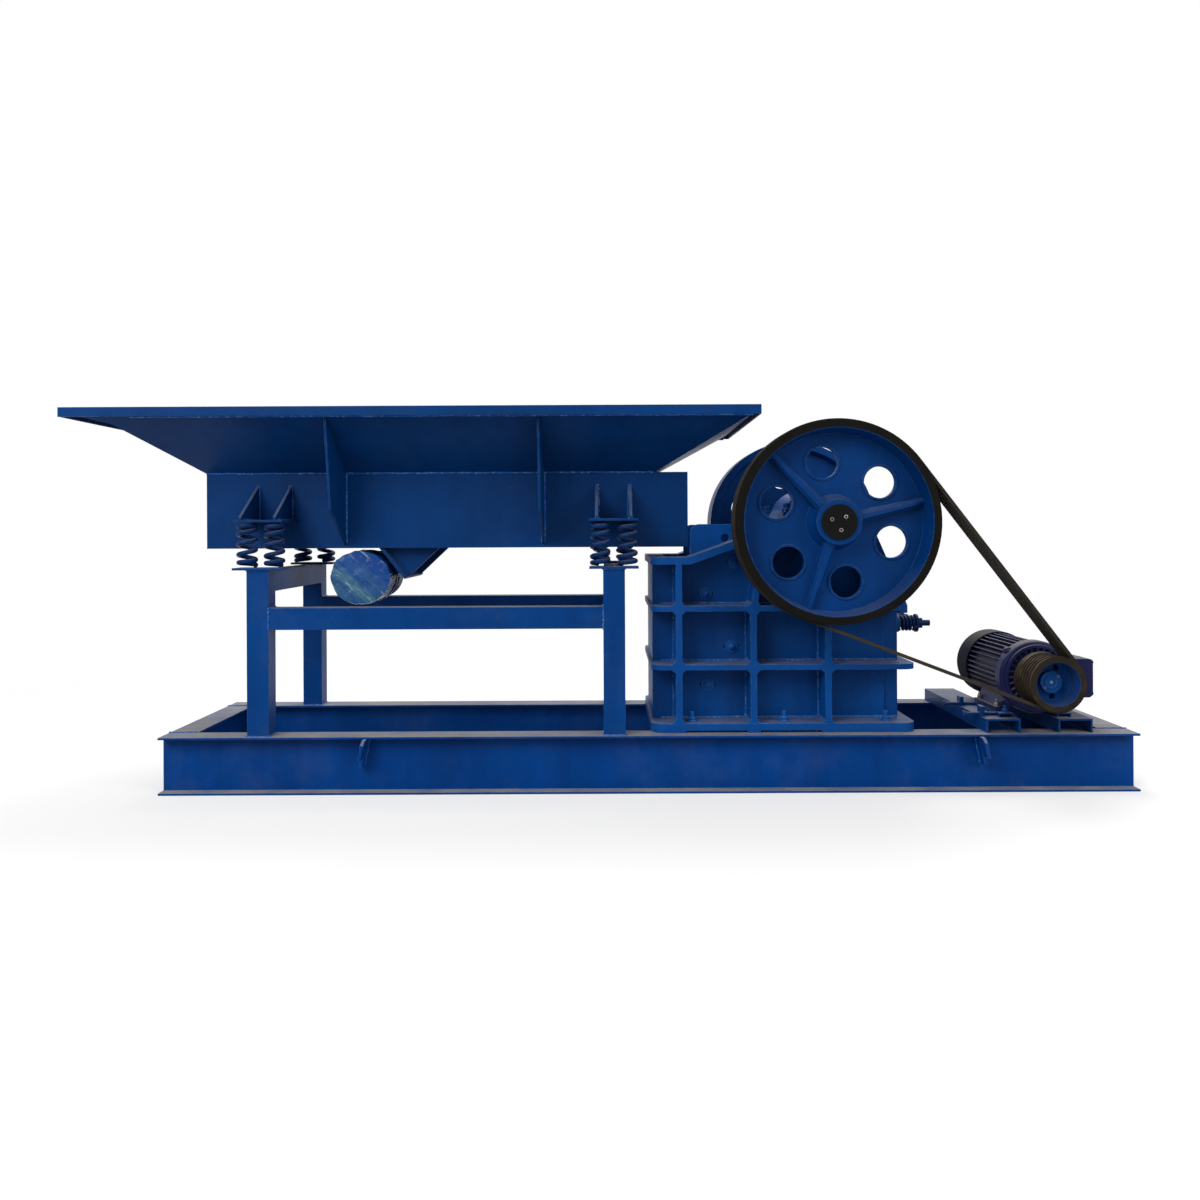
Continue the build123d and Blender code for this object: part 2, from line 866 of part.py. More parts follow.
def swing_jaw_points():
    """Side outline of the moving jaw's beam, with its lower back corner and the end of its back."""
    bottom, lean = swing_face()
    up = (sin(radians(lean)), cos(radians(lean)))
    back = (up[1], -up[0])
    length = jaw_plate_top - jaw_plate_bottom
    front_low = (bottom[0] + back[0] * jaw_plate_thick, bottom[1] + back[1] * jaw_plate_thick)
    front_top = (front_low[0] + up[0] * length, front_low[1] + up[1] * length)
    rear_low = (front_low[0] + back[0] * jaw_beam_thick, front_low[1] + back[1] * jaw_beam_thick)
    aside = barrel_radius * cos(radians(barrel_crown_angle))
    above = barrel_radius * sin(radians(barrel_crown_angle))
    crown = (shaft_x - aside, shaft_z + above)
    rear_top = (shaft_x + aside, shaft_z - above)
    return front_low, front_top, crown, rear_top, rear_low


def swing_jaw():
    """Moving jaw: a beam hung on the eccentric shaft by its barrel."""
    front_low, front_top, crown, rear_top, rear_low = swing_jaw_points()
    half = wall_in - liner_thick - jaw_side_gap
    beam = prism_xz([front_low, front_top, crown, (shaft_x, shaft_z), rear_top, rear_low], -half, half)
    body = beam + rod_y(barrel_radius, shaft_x, shaft_z, -half, half)
    return body - rod_y(barrel_bore, shaft_x, shaft_z, -half, half)


def barrel_cover():
    """Dust ring that closes the moving jaw's barrel round the shaft."""
    half = wall_in - liner_thick - jaw_side_gap
    ring = rod_y(barrel_radius, shaft_x, shaft_z, -half - barrel_cover_thick, -half)
    hole = eccentric_radius + eccentricity + jaw_side_gap
    return ring - rod_y(hole, shaft_x, shaft_z, -half - barrel_cover_thick, -half)


def side_liner():
    """Wear plate inside the belt-side wall, standing above the feed opening."""
    left = chamber_left + liner_left_gap
    right = left + liner_length
    top = deck + liner_top
    low = deck + liner_bottom
    plate = prism_xz([(left, low), (left, top), (right, top), (right, low)], -wall_in, -wall_in + liner_thick)
    corner = plate.edges().filter_by(Axis.Y).group_by(Axis.Z)[-1].sort_by(Axis.X)[0]
    plate = fillet(corner, liner_corner)
    hole_x = left + liner_hole_inset
    return plate - rod_y(liner_hole_radius, hole_x, top - liner_hole_drop, -wall_in, -wall_in + liner_thick)


def toggle_seat():
    """Thrust block on the rear wall."""
    rear = body_right - wall_thick
    half = wall_in - liner_thick
    z = deck + toggle_height_rear
    size = toggle_seat_size / 2
    return block(rear - toggle_seat_reach, rear, -half, half, z - size, z + size)


def toggle_plate():
    """Toggle between the moving jaw's heel and the thrust block, rounded at both ends."""
    front_low, front_top, crown, rear_top, rear_low = swing_jaw_points()
    length = hypot(rear_top[0] - rear_low[0], rear_top[1] - rear_low[1])
    along = ((rear_top[0] - rear_low[0]) / length, (rear_top[1] - rear_low[1]) / length)
    climb = (deck + toggle_height_front - rear_low[1]) / along[1]
    off = toggle_thick / 2 + toggle_fit
    start = (rear_low[0] + along[0] * climb + along[1] * off, rear_low[1] + along[1] * climb - along[0] * off)
    stop = (body_right - wall_thick - toggle_seat_reach - off, deck + toggle_height_rear)
    half = wall_in - liner_thick - jaw_side_gap
    span = hypot(stop[0] - start[0], stop[1] - start[1])
    tilt = degrees(atan2(stop[1] - start[1], stop[0] - start[0]))
    slab = extrude(SlotCenterToCenter(span, toggle_thick), amount=2 * half)
    middle = ((start[0] + stop[0]) / 2, (start[1] + stop[1]) / 2)
    return facing_front(middle[0], half, middle[1]) * Rot(0, 0, tilt) * slab


def tension_rod():
    """Rod that holds the moving jaw against the toggle, with its washer and nut."""
    y = -rod_spacing / 2
    z = deck + rod_height
    washer_x = frame_right + rod_spring_length
    nut_x = washer_x + rod_washer_thick
    bar = rod_x(rod_radius, y, z, shaft_x - barrel_radius * 2, frame_right + rod_reach) - swing_jaw()
    bar += rod_x(rod_washer_radius, y, z, washer_x, nut_x)
    hexagon = Plane.YZ.offset(nut_x) * Pos(y, z) * RegularPolygon(rod_nut_radius, 6)
    return bar + extrude(hexagon, amount=rod_nut_length)


def tension_spring():
    """Coil round a tension rod, between the rear wall's boss and the washer."""
    length = rod_spring_length - 2 * spring_seat_gap
    one = coil(rod_spring_diameter, rod_spring_wire, length, rod_spring_turns)
    return Pos(frame_right + spring_seat_gap, -rod_spacing / 2, deck + rod_height) * Rot(0, 90, 0) * one


def rod_boss(side):
    """Boss on the rear wall round a tension rod."""
    y = side * rod_spacing / 2
    z = deck + rod_height
    boss = rod_x(rod_washer_radius, y, z, body_right, frame_right)
    return boss - rod_x(rod_radius + rod_hole_clearance, y, z, body_right, frame_right)


def eccentric_shaft():
    """Shaft with its throw between the bearings, turned down for the flywheels."""
    half = wall_in - liner_thick
    ends = rod_y(shaft_end_radius, shaft_x, shaft_z, -wheel_out, wheel_out)
    journals = rod_y(journal_radius, shaft_x, shaft_z, -wheel_in, wheel_in)
    throw = rod_y(eccentric_radius, shaft_x, shaft_z + eccentricity, -half, half)
    return ends + journals + throw


def groove_points(radius, middle):
    """Rim outline of a sheave with one V groove per belt, from its inner face to its outer face."""
    slope = tan(radians(belt_angle))
    depth = belt_depth - belt_proud + groove_floor_gap
    mouth = belt_top / 2 - belt_proud * slope + belt_clearance
    points = []
    for count in range(belt_count):
        z = middle + (count - (belt_count - 1) / 2) * belt_pitch
        points.append((radius, z - mouth))
        points.append((radius - depth, z - mouth + depth * slope))
        points.append((radius - depth, z + mouth - depth * slope))
        points.append((radius, z + mouth))
    return points


def flywheel(rim_points):
    """Cast wheel with a recessed web, lightening holes and three ribs, front face up."""
    inner = wheel_radius - wheel_rim_thick
    web_front = wheel_web_back + wheel_web
    root = inner - wheel_rim_taper
    profile = [
        (shaft_end_radius + running_clearance, 0),
        (wheel_hub_radius, 0),
        (wheel_hub_radius, wheel_web_back),
        (root, wheel_web_back),
        (inner, 0),
        (wheel_radius, 0),
        *rim_points,
        (wheel_radius, wheel_width),
        (inner, wheel_width),
        (root, web_front),
        (wheel_hub_foot, web_front),
        (wheel_hub_radius, web_front + wheel_hub_flare),
        (wheel_hub_radius, wheel_width),
        (shaft_end_radius + running_clearance, wheel_width),
    ]
    wheel = turned(profile)
    lip_disc = Circle(wheel_hole_radius + wheel_hole_lip)
    lip = Pos(0, 0, web_front) * extrude(lip_disc, amount=wheel_hole_lip_rise)
    hole = extrude(Circle(wheel_hole_radius), amount=wheel_width)
    for count in range(wheel_holes):
        place = Rot(0, 0, wheel_hole_angle + count * 360 / wheel_holes) * Pos(wheel_hole_circle, 0, 0)
        wheel = wheel + place * lip - place * hole
    for count in range(wheel_ribs):
        wheel += Rot(0, 0, wheel_rib_angle + count * 360 / wheel_ribs) * wheel_rib()
    return wheel


def wheel_rib():
    """Tapered rib from the hub to the rim, along the wheel's own X axis."""
    web_front = wheel_web_back + wheel_web
    start = wheel_hub_radius - wheel_rib_sink
    stop = wheel_radius - wheel_rim_thick - wheel_rim_taper / 2
    plan = [
        (start, -wheel_rib_hub / 2),
        (stop, -wheel_rib_rim / 2),
        (stop, wheel_rib_rim / 2),
        (start, wheel_rib_hub / 2),
    ]
    body = extrude(Pos(0, 0, web_front) * make_face(Polyline(*plan, close=True)), amount=wheel_rib_rise)
    side = [
        (start, web_front),
        (stop, web_front),
        (stop, web_front + wheel_rib_rim_rise),
        (start, web_front + wheel_rib_rise),
    ]
    return body & prism_xz(side, -wheel_rib_hub, wheel_rib_hub)


def hub_cap():
    """Keeper plate on the belt-side end of the shaft."""
    return rod_y(cap_radius, shaft_x, shaft_z, -wheel_out - cap_thick, -wheel_out)


def belt_loop():
    """One V belt round both sheaves, lying in its own XY plane, centred on the flywheel."""
    dx = motor_x - shaft_x
    dy = motor_z - shaft_z
    big = wheel_radius + belt_proud
    small = pulley_radius + belt_proud
    aim = atan2(dy, dx)
    swing = acos((big - small) / hypot(dx, dy))

    def on(cx, cy, radius, angle):
        return (cx + radius * cos(angle), cy + radius * sin(angle))

    upper = (on(0, 0, big, aim + swing), on(dx, dy, small, aim + swing))
    lower = (on(dx, dy, small, aim - swing), on(0, 0, big, aim - swing))
    path = Wire([
        Line(*upper),
        ThreePointArc(upper[1], on(dx, dy, small, aim), lower[0]),
        Line(*lower),
        ThreePointArc(lower[1], on(0, 0, big, aim + pi), upper[0]),
    ])
    narrow = belt_top / 2 - belt_depth * tan(radians(belt_angle))
    outline = [(-belt_top / 2, 0), (belt_top / 2, 0), (narrow, belt_depth), (-narrow, belt_depth)]
    plane = Plane(origin=path @ 0, x_dir=(0, 0, 1), z_dir=path % 0)
    return sweep(plane * make_face(Polyline(*outline, close=True)), path=path)


def drive_belts():
    """The set of V belts, side by side."""
    one = belt_loop()
    belts = []
    for count in range(belt_count):
        y = -belt_y + (count - (belt_count - 1) / 2) * belt_pitch
        belts.extend((facing_front(shaft_x, y, shaft_z) * one).solids())
    return Compound(belts)


def motor_pulley():
    """Grooved pulley on the motor shaft, hollow towards the viewer."""
    web_front = pulley_width - pulley_bore_depth
    profile = [
        (motor_shaft_radius + running_clearance, 0),
        (pulley_radius - pulley_wall, 0),
        (pulley_radius, 0),
        *groove_points(pulley_radius, pulley_width / 2 + belt_shift),
        (pulley_radius, pulley_width),
        (pulley_radius - pulley_wall, pulley_width),
        (pulley_radius - pulley_wall, web_front),
        (pulley_hub_radius, web_front),
        (pulley_hub_radius, web_front + pulley_web),
        (motor_shaft_radius + running_clearance, web_front + pulley_web),
    ]
    pulley = turned(profile)
    hole = extrude(Circle(pulley_hole_radius), amount=-pulley_hole_depth)
    hole = Pos(pulley_hole_circle, 0, web_front) * hole
    for angle in pulley_hole_angles:
        pulley -= Rot(0, 0, angle) * hole
    return facing_front(motor_x, -belt_mid + pulley_width / 2, motor_z) * pulley


def motor_shaft():
    """Drive end of the motor shaft."""
    front = -belt_mid + pulley_width / 2 - (pulley_width - pulley_bore_depth + pulley_web)
    return rod_y(motor_shaft_radius, motor_x, motor_z, front, -motor_front)


def motor_housing():
    """Finned motor frame with its end shields, feet and the pad for the terminal box."""
    front = -motor_front
    rear = -motor_rear
    fan_start = rear - motor_fan_length
    body = rod_y(motor_radius, motor_x, motor_z, front, fan_start)
    shield = rod_y(motor_shield_radius, motor_x, motor_z, front, front + motor_shield_length)
    fin_y0 = front + motor_shield_length
    fin = block(motor_radius - motor_fin_sink, motor_radius + motor_fin_rise, fin_y0, fan_start,
                -motor_fin_thick / 2, motor_fin_thick / 2)
    for count in range(motor_fins):
        body += Pos(motor_x, 0, motor_z) * Rot(0, count * 360 / motor_fins, 0) * fin
    body += fillet(shield.edges().group_by(Axis.Y)[0], motor_shield_round)
    body += rod_y(motor_boss_radius, motor_x, motor_z, front - motor_boss_length, front)
    foot_y0 = front + motor_shield_length
    root = motor_radius - motor_web_sink
    outer = radians(motor_web_outer)
    inner = radians(motor_web_inner)
    for side in (-1, 1):
        x = motor_x + side * motor_foot_spacing / 2
        half = motor_foot_width / 2
        body += block(x - half, x + half, foot_y0, foot_y0 + motor_foot_length, motor_foot_z,
                      motor_foot_z + motor_foot_thick)
        web = prism_xz([
            (x - side * motor_foot_width / 2, motor_foot_z + motor_foot_thick),
            (x + side * motor_foot_toe, motor_foot_z + motor_foot_thick),
            (motor_x + side * root * cos(outer), motor_z - root * sin(outer)),
            (motor_x + side * root * cos(inner), motor_z - root * sin(inner)),
        ], foot_y0, foot_y0 + motor_foot_length)
        body += web
    pad_y = front + motor_shield_length
    pad_x = motor_x + motor_radius
    pad_z = motor_z + box_raise
    body += block(pad_x - box_pad_sink, pad_x + motor_fin_rise, pad_y, pad_y + box_depth,
                  pad_z - box_pad_height / 2, pad_z + box_pad_height / 2)
    return body - rod_y(motor_shaft_radius + running_clearance, motor_x, motor_z, front - motor_boss_length,
                        front + motor_shield_length)


def motor_fan_cover():
    """Cup over the cooling fan, slipped over the rear ends of the fins."""
    rear = -motor_rear
    start = rear - motor_fan_length - motor_fan_lap
    inside = motor_radius + motor_fin_rise + motor_fan_fit
    cup = rod_y(inside + motor_fan_wall, motor_x, motor_z, start, rear)
    cup = fillet(cup.edges().group_by(Axis.Y)[-1], motor_fan_round)
    cup -= rod_y(inside, motor_x, motor_z, start, rear - motor_fan_end)
    reach = motor_fan_slot_stop - motor_fan_slot_start
    slot = Pos((motor_fan_slot_start + motor_fan_slot_stop) / 2, 0) * SlotOverall(reach, motor_fan_slot)
    cut = facing_front(motor_x, rear, motor_z) * extrude(slot, amount=motor_fan_end)
    axis = Axis((motor_x, rear, motor_z), (0, 1, 0))
    for count in range(motor_fan_slots):
        cup -= cut.rotate(axis, count * 360 / motor_fan_slots)
    return cup


def terminal_box():
    """Cable box on the side of the motor."""
    x = motor_x + motor_radius + motor_fin_rise
    y = -motor_front + motor_shield_length
    z = motor_z + box_raise - box_height / 2
    box = block(x, x + box_width, y, y + box_depth, z, z + box_height)
    return fillet(box.edges().filter_by(Axis.Y), box_round)


def slide_channel(side):
    """Channel laid across the skid, web up, under one side of the motor."""
    x = motor_x + side * slide_channel_spacing / 2
    reach = skid_width / 2 - slide_channel_inset
    half = slide_channel_width / 2
    outer = block(x - half, x + half, -reach, reach, deck, slide_top)
    inner = block(x - half + slide_channel_wall, x + half - slide_channel_wall, -reach, reach, deck,
                  slide_top - slide_channel_wall)
    return outer - inner


def slide_rail(side):
    """Slotted rail between a channel and the motor's feet."""
    x = motor_x + side * motor_foot_spacing / 2
    half = slide_rail_width / 2
    y0 = -motor_front + motor_shield_length - (slide_rail_length - motor_foot_length) / 2
    outer = block(x - half, x + half, y0, y0 + slide_rail_length, slide_top, motor_foot_z)
    room = half - slide_rail_wall
    inner = block(x - room, x + room, y0, y0 + slide_rail_length, slide_top, motor_foot_z - slide_rail_wall)
    return outer - inner


def tension_stop(y):
    """Upright plate on the left channel with the screw that pushes the slide rail to tighten the belts."""
    rail_left = motor_x - motor_foot_spacing / 2 - slide_rail_width / 2
    left = motor_x - slide_channel_spacing / 2 - slide_channel_width / 2
    z = (slide_top + motor_foot_z) / 2
    half = stop_width / 2
    plate = block(left, left + stop_thick, y - half, y + half, slide_top, slide_top + stop_height)
    tip = left - stop_screw_length
    screw = rod_x(stop_screw_radius, y, z, tip, rail_left)
    hexagon = Plane.YZ.offset(tip - stop_head_length) * Pos(y, z) * RegularPolygon(stop_head_radius, 6)
    return plate + screw + extrude(hexagon, amount=stop_head_length)


wheel_place = facing_front(shaft_x, -wheel_in, shaft_z)

nodes = {
    "front_rail": long_rail(),
    "rear_rail": mirror(long_rail(), Plane.XZ),
    "end_beams": Compound([
        *cross_beam(skid_left + beam_flange / 2).solids(),
        *cross_beam(skid_right - beam_flange / 2).solids(),
    ]),
    "crusher_cross_beams": Compound([
        *cross_beam(frame_left + beam_flange / 2).solids(),
        *cross_beam(frame_right - beam_flange / 2).solids(),
    ]),
    "tie_hooks": both_sides(Compound([
        *tie_hook(skid_left + hook_inset_left, -hook_lean).solids(),
        *tie_hook(skid_right - hook_inset_right, hook_lean).solids(),
    ])),
    "feeder_legs": both_sides(Compound([*leg(stand_left).solids(), *leg(stand_right).solids()])),
    "side_stretchers": both_sides(side_stretcher()),
    "end_stretchers": Compound([*end_stretcher(stand_left).solids(), *end_stretcher(stand_right).solids()]),
    "spring_seats": both_sides(Compound([
        *spring_seat(stand_left).solids(),
        *spring_seat(stand_right).solids(),
    ])),
    "feeder_springs": both_sides(Compound([
        *spring_pair(stand_left).solids(),
        *spring_pair(stand_right).solids(),
    ])),
    "feeder_trough": trough(),
    "spring_brackets": both_sides(Compound([
        *spring_bracket(stand_left).solids(),
        *spring_bracket(stand_right).solids(),
    ])),
    "hopper_front_panel": side_panel(),
    "hopper_rear_panel": mirror(side_panel(), Plane.XZ),
    "hopper_loading_panel": loading_panel(),
    "hopper_discharge_panel": discharge_panel(),
    "hopper_rim": hopper_rim(),
    "hopper_gussets": both_sides(Compound([
        *hopper_gusset(trough_left + gusset_left).solids(),
        *hopper_gusset(trough_left + gusset_right).solids(),
    ])),
    "vibrator_mount": vibrator_mount(),
    "vibrator": vibrator(),
    "crusher_base": base_flange(),
    "front_side_frame": side_frame(),
    "rear_side_frame": mirror(side_frame(), Plane.XZ),
    "feed_end_wall": feed_wall(),
    "toggle_end_wall": toggle_wall(),
    "bearing_housings": both_sides(bearing_housing()),
    "fixed_jaw_plate": fixed_jaw_plate(),
    "swing_jaw_plate": swing_jaw_plate(),
    "swing_jaw": swing_jaw(),
    "barrel_covers": both_sides(barrel_cover()),
    "side_liners": both_sides(side_liner()),
    "toggle_seat": toggle_seat(),
    "toggle_plate": toggle_plate(),
    "tension_rods": both_sides(tension_rod()),
    "tension_springs": both_sides(tension_spring()),
    "eccentric_shaft": eccentric_shaft(),
    "drive_flywheel": wheel_place * flywheel(groove_points(wheel_radius, wheel_width / 2 + belt_shift)),
    "rear_flywheel": mirror(wheel_place * flywheel([]), Plane.XZ),
    "hub_caps": both_sides(hub_cap()),
    "drive_belts": drive_belts(),
    "motor_pulley": motor_pulley(),
    "motor_shaft": motor_shaft(),
    "motor_housing": motor_housing(),
    "motor_fan_cover": motor_fan_cover(),
    "terminal_box": terminal_box(),
    "slide_channels": Compound([*slide_channel(-1).solids(), *slide_channel(1).solids()]),
    "slide_rails": Compound([*slide_rail(-1).solids(), *slide_rail(1).solids()]),
    "belt_tension_screws": Compound([
        *tension_stop(-motor_front + motor_shield_length).solids(),
        *tension_stop(-motor_front + motor_shield_length + motor_foot_length).solids(),
    ]),
}

os.makedirs("parts", exist_ok=True)
for name, shape in nodes.items():
    export_step(shape, f"parts/{name}.step")
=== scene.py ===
"""Finish of a skid-mounted jaw crushing plant: paint, dust, bolts, weld beads, coil springs and packing film."""
import logging
import math
from dataclasses import dataclass, field
from enum import Enum
from functools import reduce
from typing import Callable, ClassVar, Iterable, Optional, Sequence

import bpy
from mathutils import Matrix, Vector


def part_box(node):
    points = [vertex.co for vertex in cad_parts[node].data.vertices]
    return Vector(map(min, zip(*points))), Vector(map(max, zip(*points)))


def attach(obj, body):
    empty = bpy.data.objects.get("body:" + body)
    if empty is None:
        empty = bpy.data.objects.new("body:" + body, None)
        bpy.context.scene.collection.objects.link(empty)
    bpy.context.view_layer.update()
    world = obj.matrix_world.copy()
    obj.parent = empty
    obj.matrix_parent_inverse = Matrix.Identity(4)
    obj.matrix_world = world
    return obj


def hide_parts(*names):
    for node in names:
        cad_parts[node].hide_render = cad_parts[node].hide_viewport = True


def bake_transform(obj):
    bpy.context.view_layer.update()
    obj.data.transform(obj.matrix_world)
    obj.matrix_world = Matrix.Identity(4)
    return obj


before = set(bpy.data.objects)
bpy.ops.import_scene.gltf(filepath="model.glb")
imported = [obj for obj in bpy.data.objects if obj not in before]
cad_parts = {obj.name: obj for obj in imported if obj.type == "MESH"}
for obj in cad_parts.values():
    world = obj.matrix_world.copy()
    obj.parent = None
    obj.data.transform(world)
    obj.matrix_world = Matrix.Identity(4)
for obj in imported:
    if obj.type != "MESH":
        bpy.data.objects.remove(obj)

LOG = logging.getLogger("plant")
Point = tuple[float, float, float]
Colour = tuple[float, float, float, float]
Step = tuple[float, float]
Test = Callable[[Vector, Vector], bool]
Piece = bpy.types.Object
Node = bpy.types.Node
Socket = bpy.types.NodeSocket
Tree = bpy.types.NodeTree
NODES: dict[str, Piece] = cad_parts
WHITE: Colour = (1.0, 1.0, 1.0, 1.0)


def aimed(spot: Sequence[float], way: Sequence[float]) -> Matrix:
    """Place at a point, turned so that +Z looks along a way."""
    turn = Vector((0, 0, 1)).rotation_difference(Vector(way)).to_matrix().to_4x4()
    return Matrix.Translation(spot) @ turn


def around(count: int, start: float = 0.0) -> list[Matrix]:
    """Turns about Z that share out a full circle, from a first angle."""
    return [Matrix.Rotation(start + math.tau * step / count, 4, "Z") for step in range(count)]


def flipped(point: Point) -> Point:
    """Mirror image of a point across the plant's middle plane."""
    return (point[0], -point[1], point[2])


def mirrored(points: Iterable[Point]) -> list[Point]:
    """Points and their mirror images across the plant's middle plane."""
    kept = list(points)
    return kept + [flipped(point) for point in kept]


def srgb(red: int, green: int, blue: int) -> Colour:
    """A display colour as linear light.

    Args:
        red: Red, from 0 to 255.
        green: Green, from 0 to 255.
        blue: Blue, from 0 to 255.

    Returns:
        The linear colour with an alpha of 1.
    """
    def linear(value: int) -> float:
        """One channel as linear light."""
        share = value / 255
        return share / 12.92 if share <= 0.04045 else ((share + 0.055) / 1.055) ** 2.4

    return (linear(red), linear(green), linear(blue), 1.0)


class Facing(Enum):
    """The way that a bolt head or a cover looks."""

    FRONT = (0.0, -1.0, 0.0)
    REAR = (0.0, 1.0, 0.0)
    UP = (0.0, 0.0, 1.0)
    RIGHT = (1.0, 0.0, 0.0)

    def at(self, spot: Sequence[float]) -> Matrix:
        """Place at a point, turned so that +Z looks this way."""
        return aimed(spot, self.value)


class Body(Enum):
    """The moving bodies of the plant."""

    PLANT = "plant"
    FEEDER = "feeder"
    ROTOR = "rotor"
    MOTOR_ROTOR = "motor_rotor"


class Shade(Enum):
    """Angle in degrees up to which a piece is shaded smooth."""

    FLAT = 0.0
    CREASED = 22.0
    MACHINED = 30.0
    ROUND = 60.0


class Wiring:
    """Adds and links nodes in one shader tree."""

    def __init__(self, tree: Tree) -> None:
        """Keeps the tree to work on."""
        self.tree = tree

    def feed(self, node: Node, inputs: dict) -> None:
        """Sets or links a node's inputs.

        Args:
            node: The node.
            inputs: A value or another node's output for each named or numbered input.
        """
        for key, value in inputs.items():
            if isinstance(value, Socket):
                self.tree.links.new(value, node.inputs[key])
            else:
                node.inputs[key].default_value = value

    def add(self, kind: str, inputs: Optional[dict] = None, **settings: object) -> Node:
        """Adds one node.

        Args:
            kind: The node's Blender type.
            inputs: A value or another node's output for each named or numbered input.
            settings: Properties of the node itself.

        Returns:
            The new node.
        """
        node = self.tree.nodes.new(kind)
        for key, value in settings.items():
            setattr(node, key, value)
        self.feed(node, inputs or {})
        return node

    def group(self, tree: Tree, **values: float) -> Node:
        """Places a shared group with its own values."""
        return self.add("ShaderNodeGroup", values, node_tree=tree)

    def place(self) -> Socket:
        """Place on the piece, in its own coordinates."""
        return self.add("ShaderNodeTexCoord").outputs["Object"]

    def mapped(self, scale: Point, turn: Point = (0.0, 0.0, 0.0)) -> Socket:
        """Place on the piece, turned and stretched."""
        inputs = {"Vector": self.place(), "Rotation": turn, "Scale": scale}
        return self.add("ShaderNodeMapping", inputs).outputs[0]

    def lean(self, axis: str) -> Socket:
        """How far a face looks along one axis of its piece."""
        normal = self.add("ShaderNodeTexCoord").outputs["Normal"]
        return self.add("ShaderNodeSeparateXYZ", {0: normal}).outputs[axis]

    def vector(self, operation: str, *values: object) -> Node:
        """One sum on vectors."""
        return self.add("ShaderNodeVectorMath", dict(enumerate(values)), operation=operation)

    def mix(self, factor: object, low: object, high: object) -> Socket:
        """Colour between two colours."""
        return self.add("ShaderNodeMix", {0: factor, 6: low, 7: high}, data_type="RGBA").outputs[2]

    def math(self, operation: str, first: object, second: object = 0.0) -> Socket:
        """Result of one sum."""
        return self.add("ShaderNodeMath", {0: first, 1: second}, operation=operation).outputs[0]

    def product(self, *values: object) -> Socket:
        """Product of several values."""
        return reduce(lambda first, second: self.math("MULTIPLY", first, second), values)

    def plus(self, base: object, value: object, weight: object) -> Socket:
        """Base with a share of another value added."""
        return self.math("ADD", base, self.math("MULTIPLY", value, weight))

    def spread(self, value: object, low: float, high: float, to_low: float = 0.0, to_high: float = 1.0) -> Socket:
        """Value moved from one range to another and kept inside it."""
        ranges = {"Value": value, "From Min": low, "From Max": high, "To Min": to_low, "To Max": to_high}
        return self.add("ShaderNodeMapRange", ranges, clamp=True).outputs[0]

    def noise(self, vector: object, scale: object, detail: float = 4.0, rough: float = 0.55) -> Socket:
        """Plain noise as a value."""
        inputs = {"Vector": vector, "Scale": scale, "Detail": detail, "Roughness": rough}
        return self.add("ShaderNodeTexNoise", inputs).outputs[0]

    def bump(self, height: object, strength: float, distance: float, **base: Socket) -> Socket:
        """Normal bent by a height, from the face's own normal or another one."""
        inputs = {"Strength": strength, "Distance": distance, "Height": height, **base}
        return self.add("ShaderNodeBump", inputs).outputs[0]


